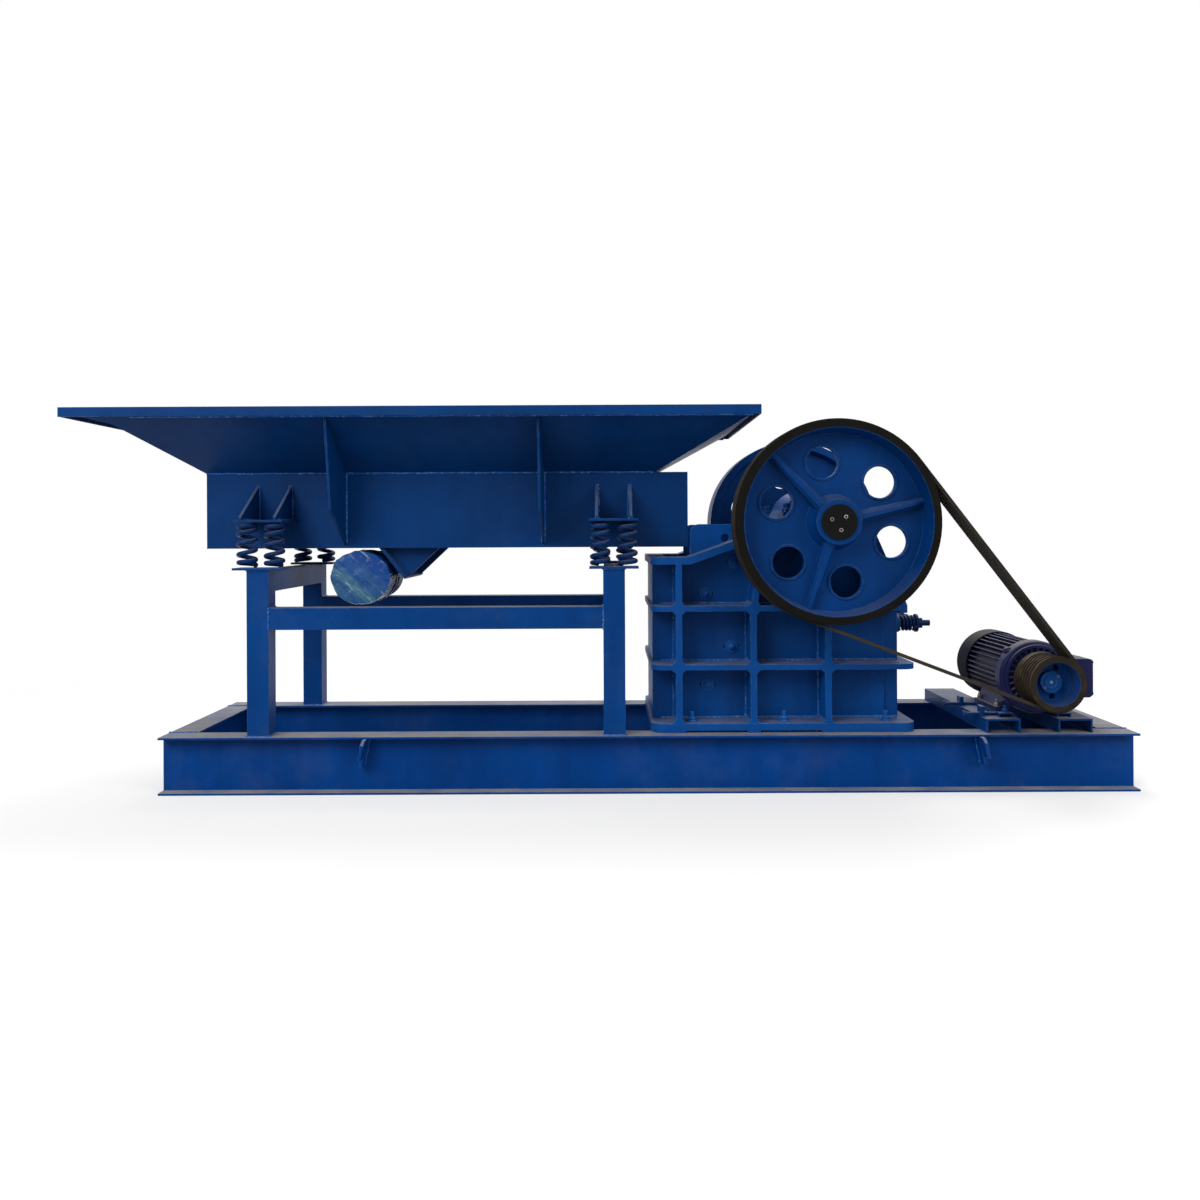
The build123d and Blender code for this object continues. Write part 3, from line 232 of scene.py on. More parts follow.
class EffectGroups:
    """Shader groups that several finishes share."""

    def __init__(self) -> None:
        """Builds every group once."""
        self.blotch = self._blotch()
        self.settling = self._settling()
        self.edge_rub = self._edge_rub()
        self.orange_peel = self._orange_peel()
        self.scuff = self._scuff()

    @staticmethod
    def _new(name: str, inputs: dict[str, float], *outputs: str) -> tuple[Wiring, dict, Node]:
        """Starts a group.

        Args:
            name: The group's name.
            inputs: Default of each float input.
            outputs: Name of each output, which is a float unless it is a normal.

        Returns:
            The group's wiring, its input sockets by name, and its output node.
        """
        tree = bpy.data.node_groups.new(name, "ShaderNodeTree")
        for key, value in inputs.items():
            socket = tree.interface.new_socket(key, in_out="INPUT", socket_type="NodeSocketFloat")
            socket.default_value = value
        for key in outputs:
            kind = "NodeSocketVector" if key == "Normal" else "NodeSocketFloat"
            tree.interface.new_socket(key, in_out="OUTPUT", socket_type=kind)
        wiring = Wiring(tree)
        source = wiring.add("NodeGroupInput")
        return wiring, {key: source.outputs[key] for key in inputs}, wiring.add("NodeGroupOutput")

    def _blotch(self) -> Tree:
        """Slow change of tone with faint runs down the upright faces.

        Returns:
            The group's tree.
        """
        wiring, source, sink = self._new("paint_blotch", {"Scale": 2.0}, "Tone")
        slow = wiring.noise(wiring.place(), source["Scale"], 5.0, 0.6)
        runs = wiring.noise(wiring.mapped((16.0, 16.0, 1.4)), 1.0, 3.0)
        tone = wiring.plus(wiring.product(slow, 0.7), runs, 0.3)
        wiring.feed(sink, {"Tone": wiring.spread(tone, 0.32, 0.68)})
        return wiring.tree

    def _settling(self) -> Tree:
        """Dust that lies on the faces that look up, thicker in patches.

        Returns:
            The group's tree.
        """
        wiring, source, sink = self._new("dust_settling", {"Amount": 0.6, "Scale": 6.0}, "Mask")
        place = wiring.place()
        level = wiring.spread(wiring.lean("Z"), 0.45, 0.95)
        patch = wiring.spread(wiring.noise(place, source["Scale"], 7.0, 0.65), 0.3, 0.62, 0.55, 1.0)
        grains = wiring.spread(wiring.noise(place, 420.0, 2.0), 0.25, 0.6, 0.6, 1.0)
        film = wiring.spread(wiring.noise(place, 3.1, 6.0, 0.7), 0.5, 0.85, 0.0, 0.07)
        total = wiring.plus(wiring.product(level, patch, grains, source["Amount"]), film, source["Amount"])
        wiring.feed(sink, {"Mask": wiring.math("MINIMUM", total, 1.0)})
        return wiring.tree

    def _edge_rub(self) -> Tree:
        """Rounded normal along the edges, and a mask of the edges, where paint is worn thin and, on enamel, a
        highlight is painted.

        Returns:
            The group's tree.
        """
        wiring, source, sink = self._new("edge_rub", {"Radius": 0.004, "Amount": 0.6}, "Mask", "Normal")
        rounded = wiring.add("ShaderNodeBevel", {"Radius": source["Radius"]}, samples=4).outputs[0]
        flat = wiring.add("ShaderNodeNewGeometry").outputs["Normal"]
        dot = wiring.vector("DOT_PRODUCT", rounded, flat).outputs["Value"]
        bend = wiring.spread(wiring.math("SUBTRACT", 1.0, dot), 0.02, 0.22)
        broken = wiring.spread(wiring.noise(wiring.place(), 38.0, 6.0, 0.7), 0.42, 0.62)
        wiring.feed(sink, {"Mask": wiring.product(bend, broken, source["Amount"]), "Normal": rounded})
        return wiring.tree

    def _orange_peel(self) -> Tree:
        """Fine relief of a sprayed coat with a few nibs in it.

        Returns:
            The group's tree.
        """
        wiring, source, sink = self._new("orange_peel", {"Scale": 190.0}, "Height")
        place = wiring.place()
        peel = wiring.noise(place, source["Scale"], 2.0)
        nibs = wiring.spread(wiring.noise(place, 75.0, 1.0), 0.68, 0.76)
        wave = wiring.noise(place, 9.0, 2.0)
        height = wiring.plus(wiring.product(peel, 0.35), nibs, 0.6)
        wiring.feed(sink, {"Height": wiring.plus(height, wave, 1.6)})
        return wiring.tree

    def _scuff(self) -> Tree:
        """Short pale scratches and rub marks.

        Returns:
            The group's tree.
        """
        wiring, source, sink = self._new("scuff_marks", {"Scale": 5.0, "Amount": 0.5}, "Mask")
        turned = wiring.mapped((2.0, 22.0, 9.0), (0.5, 0.7, 0.4))
        lines = wiring.spread(wiring.noise(turned, source["Scale"], 8.0, 0.75), 0.66, 0.74)
        where = wiring.spread(wiring.noise(wiring.place(), 2.3, 3.0), 0.5, 0.62)
        wiring.feed(sink, {"Mask": wiring.product(lines, where, source["Amount"])})
        return wiring.tree


@dataclass(frozen=True)
class Finish:
    """Base of every finish, which becomes one material."""

    name: str

    def material(self, groups: EffectGroups) -> bpy.types.Material:
        """Mixes the material.

        Args:
            groups: The shared effects.

        Returns:
            The finished material.
        """
        material = bpy.data.materials.new(self.name)
        material.use_nodes = True
        wiring = Wiring(material.node_tree)
        wiring.feed(wiring.tree.nodes["Principled BSDF"], self.inputs(wiring, groups))
        return material

    def inputs(self, wiring: Wiring, groups: EffectGroups) -> dict:
        """Values and sockets for the shader, which each finish gives."""
        raise NotImplementedError


@dataclass(frozen=True)
class Enamel(Finish):
    """Satin shop enamel over steel, with dust, thin edges and scuffs; its pale edge colour is worn paint and a painted
    edge highlight in one.
    """

    bright: Colour
    deep: Colour
    # Pale colour of worn paint, which also serves as a painted highlight on edges, weld beads and bolts.
    rub_and_highlight: Colour = srgb(96, 142, 190)
    dust: Colour = srgb(150, 145, 134)
    dust_amount: float = 0.6
    edge_amount: float = 0.55
    scuff_amount: float = 0.25
    edge_radius: float = 0.004
    relief: float = 0.0006
    roughness: float = 0.36
    gloss: float = 0.06
    fleck_glint: float = 0.0
    blotch_scale: float = 1.9
    scuff_scale: float = 5.0
    dust_scale: float = 6.0
    dust_rough: float = 0.45
    peel_scale: float = 190.0
    peel_strength: float = 0.55
    thin_rough: float = 0.08

    def inputs(self, wiring: Wiring, groups: EffectGroups) -> dict:
        """Colour, roughness, gloss and normal of the coat.

        Args:
            wiring: The material's wiring.
            groups: The shared effects.

        Returns:
            Values and sockets for the shader.
        """
        tone = wiring.group(groups.blotch, Scale=self.blotch_scale).outputs["Tone"]
        edge = wiring.group(groups.edge_rub, Radius=self.edge_radius, Amount=self.edge_amount)
        scuff = wiring.group(groups.scuff, Scale=self.scuff_scale, Amount=self.scuff_amount).outputs["Mask"]
        dust = wiring.group(groups.settling, Amount=self.dust_amount, Scale=self.dust_scale).outputs["Mask"]
        peel = wiring.group(groups.orange_peel, Scale=self.peel_scale).outputs["Height"]
        colour = wiring.mix(tone, self.deep, self.bright)
        # Paler edges: paint worn thin there, and a painted edge highlight.
        colour = wiring.mix(edge.outputs["Mask"], colour, self.rub_and_highlight)
        colour = wiring.mix(scuff, colour, self.rub_and_highlight)
        # Pale flecks: painted glints, as on the weld beads.
        if self.fleck_glint:
            spots = wiring.spread(wiring.noise(wiring.place(), 85.0, 3.0, 0.6), 0.52, 0.62, 0.0, self.fleck_glint)
            colour = wiring.mix(spots, colour, self.rub_and_highlight)
        colour = wiring.mix(dust, colour, self.dust)
        rough = wiring.spread(tone, 0.0, 1.0, self.roughness + self.thin_rough, self.roughness)
        rough = wiring.plus(rough, dust, self.dust_rough)
        bump = wiring.bump(peel, self.peel_strength, self.relief, Normal=edge.outputs["Normal"])
        return {"Base Color": colour, "Roughness": rough, "Normal": bump, "Specular IOR Level": self.gloss}


@dataclass(frozen=True)
class SheaveEnamel(Enamel):
    """Enamel on a wheel whose rim is bare, dark metal beyond a radius, with painted shade darkening the metal's faces
    that look to the front.
    """

    centre: Point = (0.0, 0.0, 0.0)
    edge: float = 0.1
    edge_soft: float = 0.001
    metal_bright: Colour = srgb(98, 86, 70)
    metal_dark: Colour = srgb(40, 36, 31)
    metal_rough: float = 0.12
    metal_shine: tuple[float, float] = (0.15, 0.55)
    lathe_scale: Point = (5.0, 240.0, 5.0)
    # Share of painted shade on the metal's faces that look to the front.
    face: float = 0.8

    def bare(self, wiring: Wiring) -> Socket:
        """Mask of what lies further from the wheel's axis than the edge.

        Args:
            wiring: The material's wiring.

        Returns:
            The mask's socket.
        """
        flat = wiring.vector("MULTIPLY", wiring.place(), (1.0, 0.0, 1.0)).outputs[0]
        away = wiring.vector("DISTANCE", flat, (self.centre[0], 0.0, self.centre[2])).outputs["Value"]
        return wiring.spread(away, self.edge - self.edge_soft, self.edge + self.edge_soft)

    def inputs(self, wiring: Wiring, groups: EffectGroups) -> dict:
        """The coat's inputs, with the bare metal laid over them.

        Args:
            wiring: The material's wiring.
            groups: The shared effects.

        Returns:
            Values and sockets for the shader.
        """
        coat = super().inputs(wiring, groups)
        bare = self.bare(wiring)
        lathe = wiring.spread(wiring.noise(wiring.mapped(self.lathe_scale), 1.0, 3.0), 0.3, 0.7)
        smut = wiring.spread(wiring.noise(wiring.place(), 24.0, 5.0, 0.65), 0.35, 0.65)
        metal = wiring.mix(wiring.product(lathe, smut), self.metal_dark, self.metal_bright)
        # Metal faces that look to the front are mixed towards the dark tone: painted shade.
        metal = wiring.mix(wiring.spread(wiring.lean("Y"), -0.97, -0.8, self.face, 0.0), metal, self.metal_dark)
        colour = wiring.mix(bare, coat["Base Color"], metal)
        rough = wiring.plus(coat["Roughness"], bare, self.metal_rough)
        shine = wiring.product(bare, wiring.spread(smut, 0.0, 1.0, *self.metal_shine))
        return {**coat, "Base Color": colour, "Roughness": rough, "Metallic": shine}


@dataclass(frozen=True)
class WorkedSteel(Finish):
    """Bare or lightly oiled steel with tool marks and a brown bloom."""

    bright: Colour
    stain: Colour
    metallic: float = 0.85
    roughness: float = 0.42
    grain: Point = (40.0, 40.0, 40.0)
    relief: float = 0.0005
    mark_strength: float = 0.5
    edge_radius: float = 0.0015
    edge_amount: float = 0.9
    bloom_rough: float = 0.15
    bloom_shine: float = 0.35

    def inputs(self, wiring: Wiring, groups: EffectGroups) -> dict:
        """Colour, roughness, metal and normal of the steel.

        Args:
            wiring: The material's wiring.
            groups: The shared effects.

        Returns:
            Values and sockets for the shader.
        """
        marks = wiring.noise(wiring.mapped(self.grain), 6.0, 5.0, 0.6)
        bloom = wiring.spread(wiring.noise(wiring.place(), 21.0, 6.0, 0.7), 0.38, 0.64)
        edge = wiring.group(groups.edge_rub, Radius=self.edge_radius, Amount=self.edge_amount)
        colour = wiring.mix(bloom, self.bright, self.stain)
        colour = wiring.mix(edge.outputs["Mask"], colour, self.bright)
        rough = wiring.spread(marks, 0.25, 0.75, self.roughness - 0.1, self.roughness + 0.14)
        rough = wiring.plus(rough, bloom, self.bloom_rough)
        shine = wiring.spread(bloom, 0.0, 1.0, self.metallic, self.metallic * self.bloom_shine)
        bump = wiring.bump(marks, self.mark_strength, self.relief, Normal=edge.outputs["Normal"])
        return {"Base Color": colour, "Roughness": rough, "Metallic": shine, "Normal": bump}


@dataclass(frozen=True)
class BeltRubber(Finish):
    """Fabric-wrapped V belt, dusty on its faces and worn along its edges."""

    fabric: Colour = srgb(34, 31, 27)
    worn: Colour = srgb(54, 48, 40)
    gloss: float = 0.1
    thread_scale: Point = (3.0, 240.0, 3.0)
    weave: float = 0.1
    relief: float = 0.0004
    relief_strength: float = 0.1
    edge_radius: float = 0.002
    edge_amount: float = 0.3

    def inputs(self, wiring: Wiring, groups: EffectGroups) -> dict:
        """Colour, roughness, gloss and normal of the belt.

        Args:
            wiring: The material's wiring.
            groups: The shared effects.

        Returns:
            Values and sockets for the shader.
        """
        place = wiring.place()
        threads = wiring.noise(wiring.mapped(self.thread_scale), 1.0, 2.0)
        height = wiring.plus(threads, wiring.noise(place, 620.0, 1.0), self.weave)
        dusty = wiring.spread(wiring.noise(place, 17.0, 6.0, 0.7), 0.35, 0.68)
        tone = wiring.product(wiring.spread(threads, 0.3, 0.7, 0.45, 1.0), dusty)
        edge = wiring.group(groups.edge_rub, Radius=self.edge_radius, Amount=self.edge_amount)
        colour = wiring.mix(edge.outputs["Mask"], wiring.mix(tone, self.fabric, self.worn), self.worn)
        bump = wiring.bump(height, self.relief_strength, self.relief, Normal=edge.outputs["Normal"])
        rough = wiring.spread(tone, 0.0, 1.0, 0.62, 0.88)
        return {"Base Color": colour, "Roughness": rough, "Normal": bump, "Specular IOR Level": self.gloss}


@dataclass(frozen=True)
class PackingFilm(Finish):
    """Crinkled film pulled tight over blue enamel, cloudy towards its foot, with highlights painted along the ridges
    of its folds.
    """

    centre: Point
    under: Colour = srgb(8, 60, 128)
    cloudy: Colour = srgb(72, 116, 128)
    crease_glint: Colour = srgb(170, 194, 206)
    fold: float = math.radians(42)
    fold_size: Point = (0.3, 0.12, 0.045)
    fold_depth: float = 0.016
    gloss: float = 0.2

    def inputs(self, wiring: Wiring, groups: EffectGroups) -> dict:
        """Colour, roughness, gloss and normal of the film.

        Args:
            wiring: The material's wiring.
            groups: The shared effects, which the film has no need of.

        Returns:
            Values and sockets for the shader.
        """
        mapping = {"Vector": wiring.place(), "Location": self.centre, "Rotation": (0.0, self.fold, 0.0),
                   "Scale": self.fold_size}
        bent = wiring.add("ShaderNodeMapping", mapping, vector_type="TEXTURE").outputs[0]
        folds = wiring.noise(bent, 1.4, 5.0, 0.6)
        lower = wiring.spread(wiring.add("ShaderNodeSeparateXYZ", {0: bent}).outputs["Z"], 1.2, -2.4)
        cloud = wiring.product(lower, wiring.spread(wiring.noise(bent, 0.9, 4.0), 0.34, 0.6, 0.15, 1.0))
        # Pale ridges of the folds: painted highlights on the crinkles.
        glint_ridge = wiring.spread(wiring.noise(bent, 2.3, 6.0, 0.64), 0.6, 0.7, 0.0, 0.6)
        colour = wiring.mix(glint_ridge, wiring.mix(cloud, self.under, self.cloudy), self.crease_glint)
        rough = wiring.spread(folds, 0.3, 0.7, 0.12, 0.3)
        return {"Base Color": colour, "Roughness": rough, "Normal": wiring.bump(folds, 1.0, self.fold_depth),
                "Specular IOR Level": self.gloss}


class Bench:
    """Modelling moves that the sub-assemblies share."""

    @staticmethod
    def centre_of(node: str) -> Vector:
        """Middle of a CAD node's box."""
        low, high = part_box(node)
        return (low + high) / 2

    @staticmethod
    def clear() -> None:
        """Leaves edit mode and selects nothing."""
        active = bpy.context.view_layer.objects.active
        if active is not None and active.mode != "OBJECT":
            bpy.ops.object.mode_set(mode="OBJECT")
        bpy.ops.object.select_all(action="DESELECT")

    @classmethod
    def only(cls, piece: Piece) -> None:
        """Selects one piece and makes it active.

        Args:
            piece: The piece.
        """
        cls.clear()
        piece.select_set(True)
        bpy.context.view_layer.objects.active = piece

    @classmethod
    def settle(cls, piece: Piece) -> Piece:
        """Puts a piece's place, turn and scale into its mesh.

        Args:
            piece: The piece.

        Returns:
            The same piece.
        """
        cls.only(piece)
        bpy.ops.object.transform_apply(location=True, rotation=True, scale=True)
        return piece

    @classmethod
    def cylinder(cls, sides: int, radius: float, base: float, top: float) -> Piece:
        """Upright cylinder on the Z axis between two heights.

        Args:
            sides: How many sides it has.
            radius: Its radius.
            base: Height of its foot.
            top: Height of its top.

        Returns:
            The cylinder.
        """
        cls.clear()
        bpy.ops.mesh.primitive_cylinder_add(vertices=sides, radius=radius, depth=top - base,
                                            location=(0, 0, (base + top) / 2))
        return cls.settle(bpy.context.object)

    @classmethod
    def ringed(cls, sides: int, radius: float, length: float, cuts: int) -> Piece:
        """Cylinder up from the XY plane with its side cut into rings.

        Args:
            sides: How many sides it has.
            radius: Its radius.
            length: Its length.
            cuts: How many cuts its side gets.

        Returns:
            The cylinder.
        """
        drum = cls.cylinder(sides, radius, 0.0, length)
        cls.edit_edges(drum, lambda a, b: abs(a.z - b.z) > length / 2, bpy.ops.mesh.subdivide, number_cuts=cuts)
        return drum

    @classmethod
    def block(cls, low: Point, high: Point) -> Piece:
        """Box between two corners.

        Args:
            low: The lower corner.
            high: The upper corner.

        Returns:
            The box.
        """
        cls.clear()
        bpy.ops.mesh.primitive_cube_add(size=1.0, location=[(a + b) / 2 for a, b in zip(low, high)])
        piece = bpy.context.object
        piece.scale = [b - a for a, b in zip(low, high)]
        return cls.settle(piece)

    @classmethod
    def _edit(cls, piece: Piece, kind: str, test: Callable, move: Callable, settings: dict) -> None:
        """Makes one edit mode move with the faces or edges that pass a test.

        Args:
            piece: The piece.
            kind: FACE or EDGE.
            test: What a face or an edge has to pass.
            move: The operator.
            settings: The operator's settings.
        """
        cls.only(piece)
        bpy.ops.object.mode_set(mode="EDIT")
        bpy.ops.mesh.select_mode(type=kind)
        bpy.ops.mesh.select_all(action="DESELECT")
        bpy.ops.object.mode_set(mode="OBJECT")
        for row in piece.data.polygons if kind == "FACE" else piece.data.edges:
            row.select = test(row)
        bpy.ops.object.mode_set(mode="EDIT")
        move(**settings)
        cls.clear()

    @classmethod
    def edit_faces(cls, piece: Piece, test: Test, move: Callable, **settings: object) -> None:
        """Makes one move with the faces whose centre and normal pass a test."""
        cls._edit(piece, "FACE", lambda face: test(face.center, face.normal), move, settings)

    @classmethod
    def edit_edges(cls, piece: Piece, test: Test, move: Callable, **settings: object) -> None:
        """Makes one move with the edges whose two ends pass a test."""
        cls._edit(piece, "EDGE", lambda edge: test(*(piece.data.vertices[end].co for end in edge.vertices)), move,
                  settings)

    @classmethod
    def inset_top(cls, piece: Piece, *steps: Step) -> None:
        """Draws the widest face that looks up inwards and lifts or sinks it, step by step.

        Args:
            piece: The piece.
            steps: How far each step draws inwards, and how far it lifts.
        """
        for inwards, rise in steps:
            widest = max((face for face in piece.data.polygons if face.normal.z > 0.9), key=lambda face: face.area)
            middle = widest.center.copy()
            cls.edit_faces(piece, lambda centre, normal: normal.z > 0.9 and (centre - middle).length < 1e-6,
                           bpy.ops.mesh.inset, thickness=inwards, depth=rise)

    @classmethod
    def bevel(cls, piece: Piece, test: Test, width: float, segments: int = 2) -> None:
        """Bevels the edges whose two ends pass a test."""
        cls.edit_edges(piece, test, bpy.ops.mesh.bevel, offset=width, segments=segments, affect="EDGES")

    @classmethod
    def bevel_rim(cls, piece: Piece, height: float, width: float) -> None:
        """Rounds the edges that lie at one height."""
        cls.bevel(piece, lambda a, b: abs(a.z - height) < 1e-6 and abs(b.z - height) < 1e-6, width)

    @classmethod
    def join(cls, pieces: Sequence[Piece], name: str) -> Piece:
        """Joins pieces into one with a name.

        Args:
            pieces: The pieces.
            name: The joined piece's name.

        Returns:
            The joined piece.
        """
        cls.only(pieces[0])
        for piece in pieces[1:]:
            piece.select_set(True)
        if len(pieces) > 1:
            bpy.ops.object.join()
        joined = bpy.context.view_layer.objects.active
        joined.name = joined.data.name = name
        return joined

    @classmethod
    def copies(cls, pattern: Piece, places: Iterable[Matrix], name: str) -> Piece:
        """Copies a pattern to each place, each copy with its own mesh, and joins them.

        Args:
            pattern: The piece modelled once, which is removed afterwards.
            places: A matrix for each copy.
            name: The joined piece's name.

        Returns:
            The joined piece.
        """
        made = []
        for place in places:
            copy = pattern.copy()
            copy.data = pattern.data.copy()
            bpy.context.scene.collection.objects.link(copy)
            copy.data.transform(place)
            made.append(copy)
        bpy.data.objects.remove(pattern)
        return cls.join(made, name)

    @classmethod
    def apply(cls, piece: Piece, kind: str, **settings: object) -> None:
        """Adds one modifier and applies it.

        Args:
            piece: The piece.
            kind: The modifier's type.
            settings: The modifier's properties.
        """
        cls.only(piece)
        modifier = piece.modifiers.new(kind.lower(), kind)
        for key, value in settings.items():
            setattr(modifier, key, value)
        bpy.ops.object.modifier_apply(modifier=modifier.name)

    @classmethod
    def displace(cls, piece: Piece, kind: str, size: float, depth: float, middle: float) -> None:
        """Pushes a surface in and out by a texture.

        Args:
            piece: The piece.
            kind: The texture's type.
            size: Size of the texture's forms.
            depth: How far it pushes.
            middle: The texture's value that stays in place.
        """
        texture = bpy.data.textures.new(piece.name, kind)
        texture.noise_scale = size
        cls.apply(piece, "DISPLACE", texture=texture, strength=depth, texture_coords="LOCAL", mid_level=middle)

    @classmethod
    def smooth(cls, piece: Piece, shade: Shade) -> None:
        """Shades a piece smooth up to an angle."""
        cls.only(piece)
        bpy.ops.object.shade_smooth_by_angle(angle=math.radians(shade.value))

    @classmethod
    def outward(cls, piece: Piece) -> None:
        """Merges doubles and turns every face outwards.

        Args:
            piece: The piece.
        """
        cls.only(piece)
        bpy.ops.object.mode_set(mode="EDIT")
        bpy.ops.mesh.select_all(action="SELECT")
        bpy.ops.mesh.remove_doubles(threshold=1e-5)
        bpy.ops.mesh.normals_make_consistent(inside=False)
        cls.clear()


class PaintShop:
    """Every finish of the plant, mixed once."""

    def __init__(self) -> None:
        """Mixes the materials."""
        groups = EffectGroups()
        wheel, pulley, film = (tuple(Bench.centre_of(node)) for node in ("drive_flywheel", "motor_pulley", "vibrator"))
        finishes: list[Finish] = [
            Enamel("skid_paint", srgb(1, 61, 132), srgb(1, 46, 104), dust_amount=0.85),
            Enamel("stand_paint", srgb(2, 60, 124), srgb(2, 46, 100), dust_amount=0.65),
            Enamel("spring_paint", srgb(6, 46, 98), srgb(4, 30, 68), edge_amount=0.4, dust_amount=0.25,
                   edge_radius=0.001),
            Enamel("feeder_paint", srgb(4, 54, 110), srgb(3, 41, 88), dust_amount=0.3, scuff_amount=0.15),
            Enamel("vibrator_paint", srgb(4, 50, 106), srgb(3, 36, 80), dust_amount=0.3),
            Enamel("crusher_paint", srgb(7, 72, 144), srgb(6, 52, 106), edge_amount=0.9, scuff_amount=0.5,
                   dust_amount=0.4, relief=0.0014),
            # Weld beads: a paler paint whose pale edges and flecks are painted glints along with worn paint.
            Enamel("weld_paint_glints", srgb(22, 88, 164), srgb(4, 52, 112), rub_and_highlight=srgb(128, 168, 208), edge_amount=0.8,
                   scuff_amount=0.7, dust_amount=0.3, edge_radius=0.003, relief=0.002, fleck_glint=0.34),
            # Bolts: brighter than the wall paint, with fully pale edges: painted highlights on their rims along with
            # worn paint.
            Enamel("bolt_paint_highlight", srgb(16, 84, 160), srgb(8, 60, 122), edge_amount=1.0, dust_amount=0.15,
                   edge_radius=0.0025),
            SheaveEnamel("wheel_paint", srgb(2, 56, 118), srgb(2, 41, 90), dust_amount=0.12, relief=0.0012,
                         centre=wheel, edge=0.3975, metal_bright=srgb(40, 36, 30), metal_dark=srgb(13, 13, 12)),
            Enamel("rear_wheel_paint", srgb(2, 56, 118), srgb(2, 41, 90), dust_amount=0.12, relief=0.0012),
            SheaveEnamel("pulley_steel", srgb(12, 70, 138), srgb(8, 52, 106), dust_amount=0.1, centre=pulley,
                         edge=0.0925, metal_bright=srgb(100, 82, 60), metal_dark=srgb(30, 27, 23)),
            Enamel("motor_paint", srgb(34, 38, 84), srgb(20, 24, 56), rub_and_highlight=srgb(104, 112, 146), dust_amount=0.4,
                   edge_radius=0.002),
            Enamel("fan_cover_paint", srgb(36, 41, 54), srgb(22, 26, 36), rub_and_highlight=srgb(110, 112, 116),
                   dust_amount=0.25, edge_radius=0.002, roughness=0.6, gloss=0.02),
            Enamel("cap_black", srgb(16, 16, 17), srgb(8, 8, 9), rub_and_highlight=srgb(60, 60, 62), dust_amount=0.08,
                   roughness=0.5),
            Enamel("tape_tan", srgb(168, 132, 92), srgb(104, 78, 52), rub_and_highlight=srgb(196, 172, 140), dust_amount=0.2,
                   relief=0.003),
            WorkedSteel("jaw_steel", srgb(112, 108, 104), srgb(82, 66, 52), metallic=0.7, roughness=0.5,
                        relief=0.002),
            WorkedSteel("shaft_steel", srgb(142, 142, 142), srgb(96, 88, 78), grain=(30.0, 400.0, 30.0)),
            WorkedSteel("plated_steel", srgb(128, 124, 116), srgb(82, 74, 62), roughness=0.4),
            BeltRubber("belt_rubber"),
            PackingFilm("packing_film", film),
        ]
        self.shelf = {finish.name: finish.material(groups) for finish in finishes}

    def dress(self, piece: Piece, finish: str) -> None:
        """Gives a piece one finish."""
        piece.data.materials.clear()
        piece.data.materials.append(self.shelf[finish])


@dataclass(frozen=True)
class HexBolt:
    """Washer, hexagon nut and the stud's end, standing on its own XY plane."""

    nut_radius: float
    nut_height: float
    washer_radius: float
    washer_thick: float
    stud_radius: float
    stud_rise: float = 0.0
    chamfer: float = 0.0018
    chamfer_slope: float = 1.2
    washer_round: float = 0.35
    washer_sides: int = 24
    stud_sides: int = 14
    seat: float = 0.9
    twist: float = 0.7

    def model(self) -> Piece:
        """Models one bolt.

        Returns:
            The bolt.
        """
        washer = Bench.cylinder(self.washer_sides, self.washer_radius, 0.0, self.washer_thick)
        Bench.bevel_rim(washer, self.washer_thick, self.washer_thick * self.washer_round)
        seat = self.washer_thick * self.seat
        crown = self.washer_thick + self.nut_height - self.chamfer
        nut = Bench.cylinder(6, self.nut_radius, seat, crown)
        Bench.inset_top(nut, (self.chamfer * self.chamfer_slope, self.chamfer))
        stud = Bench.cylinder(self.stud_sides, self.stud_radius, seat, crown + self.stud_rise)
        Bench.inset_top(stud, (self.chamfer, self.chamfer))
        return Bench.join([washer, nut, stud], "bolt_pattern")

    def fit(self, name: str, spots: Sequence[Point], facing: Facing) -> Piece:
        """Places bolts with their washers on the given points, as one piece."""
        places = [facing.at(spot) @ Matrix.Rotation(self.twist * count, 4, "Z") for count, spot in enumerate(spots)]
        return Bench.copies(self.model(), places, name)


class Bolts(Enum):
    """The plant's bolts."""

    CHEEK = HexBolt(nut_radius=0.0155, nut_height=0.01, washer_radius=0.031, washer_thick=0.005, stud_radius=0.0085,
                    stud_rise=0.008)
    ANCHOR = HexBolt(nut_radius=0.018, nut_height=0.016, washer_radius=0.024, washer_thick=0.004, stud_radius=0.011,
                     stud_rise=0.024)
    MOTOR = HexBolt(nut_radius=0.0125, nut_height=0.011, washer_radius=0.0145, washer_thick=0.003, stud_radius=0.007,
                    stud_rise=0.016)
    COVER = HexBolt(nut_radius=0.0095, nut_height=0.007, washer_radius=0.012, washer_thick=0.002, stud_radius=0.005)
    LUG = HexBolt(nut_radius=0.0095, nut_height=0.008, washer_radius=0.012, washer_thick=0.002, stud_radius=0.005)
    LID = HexBolt(nut_radius=0.006, nut_height=0.004, washer_radius=0.0075, washer_thick=0.0015, stud_radius=0.003)


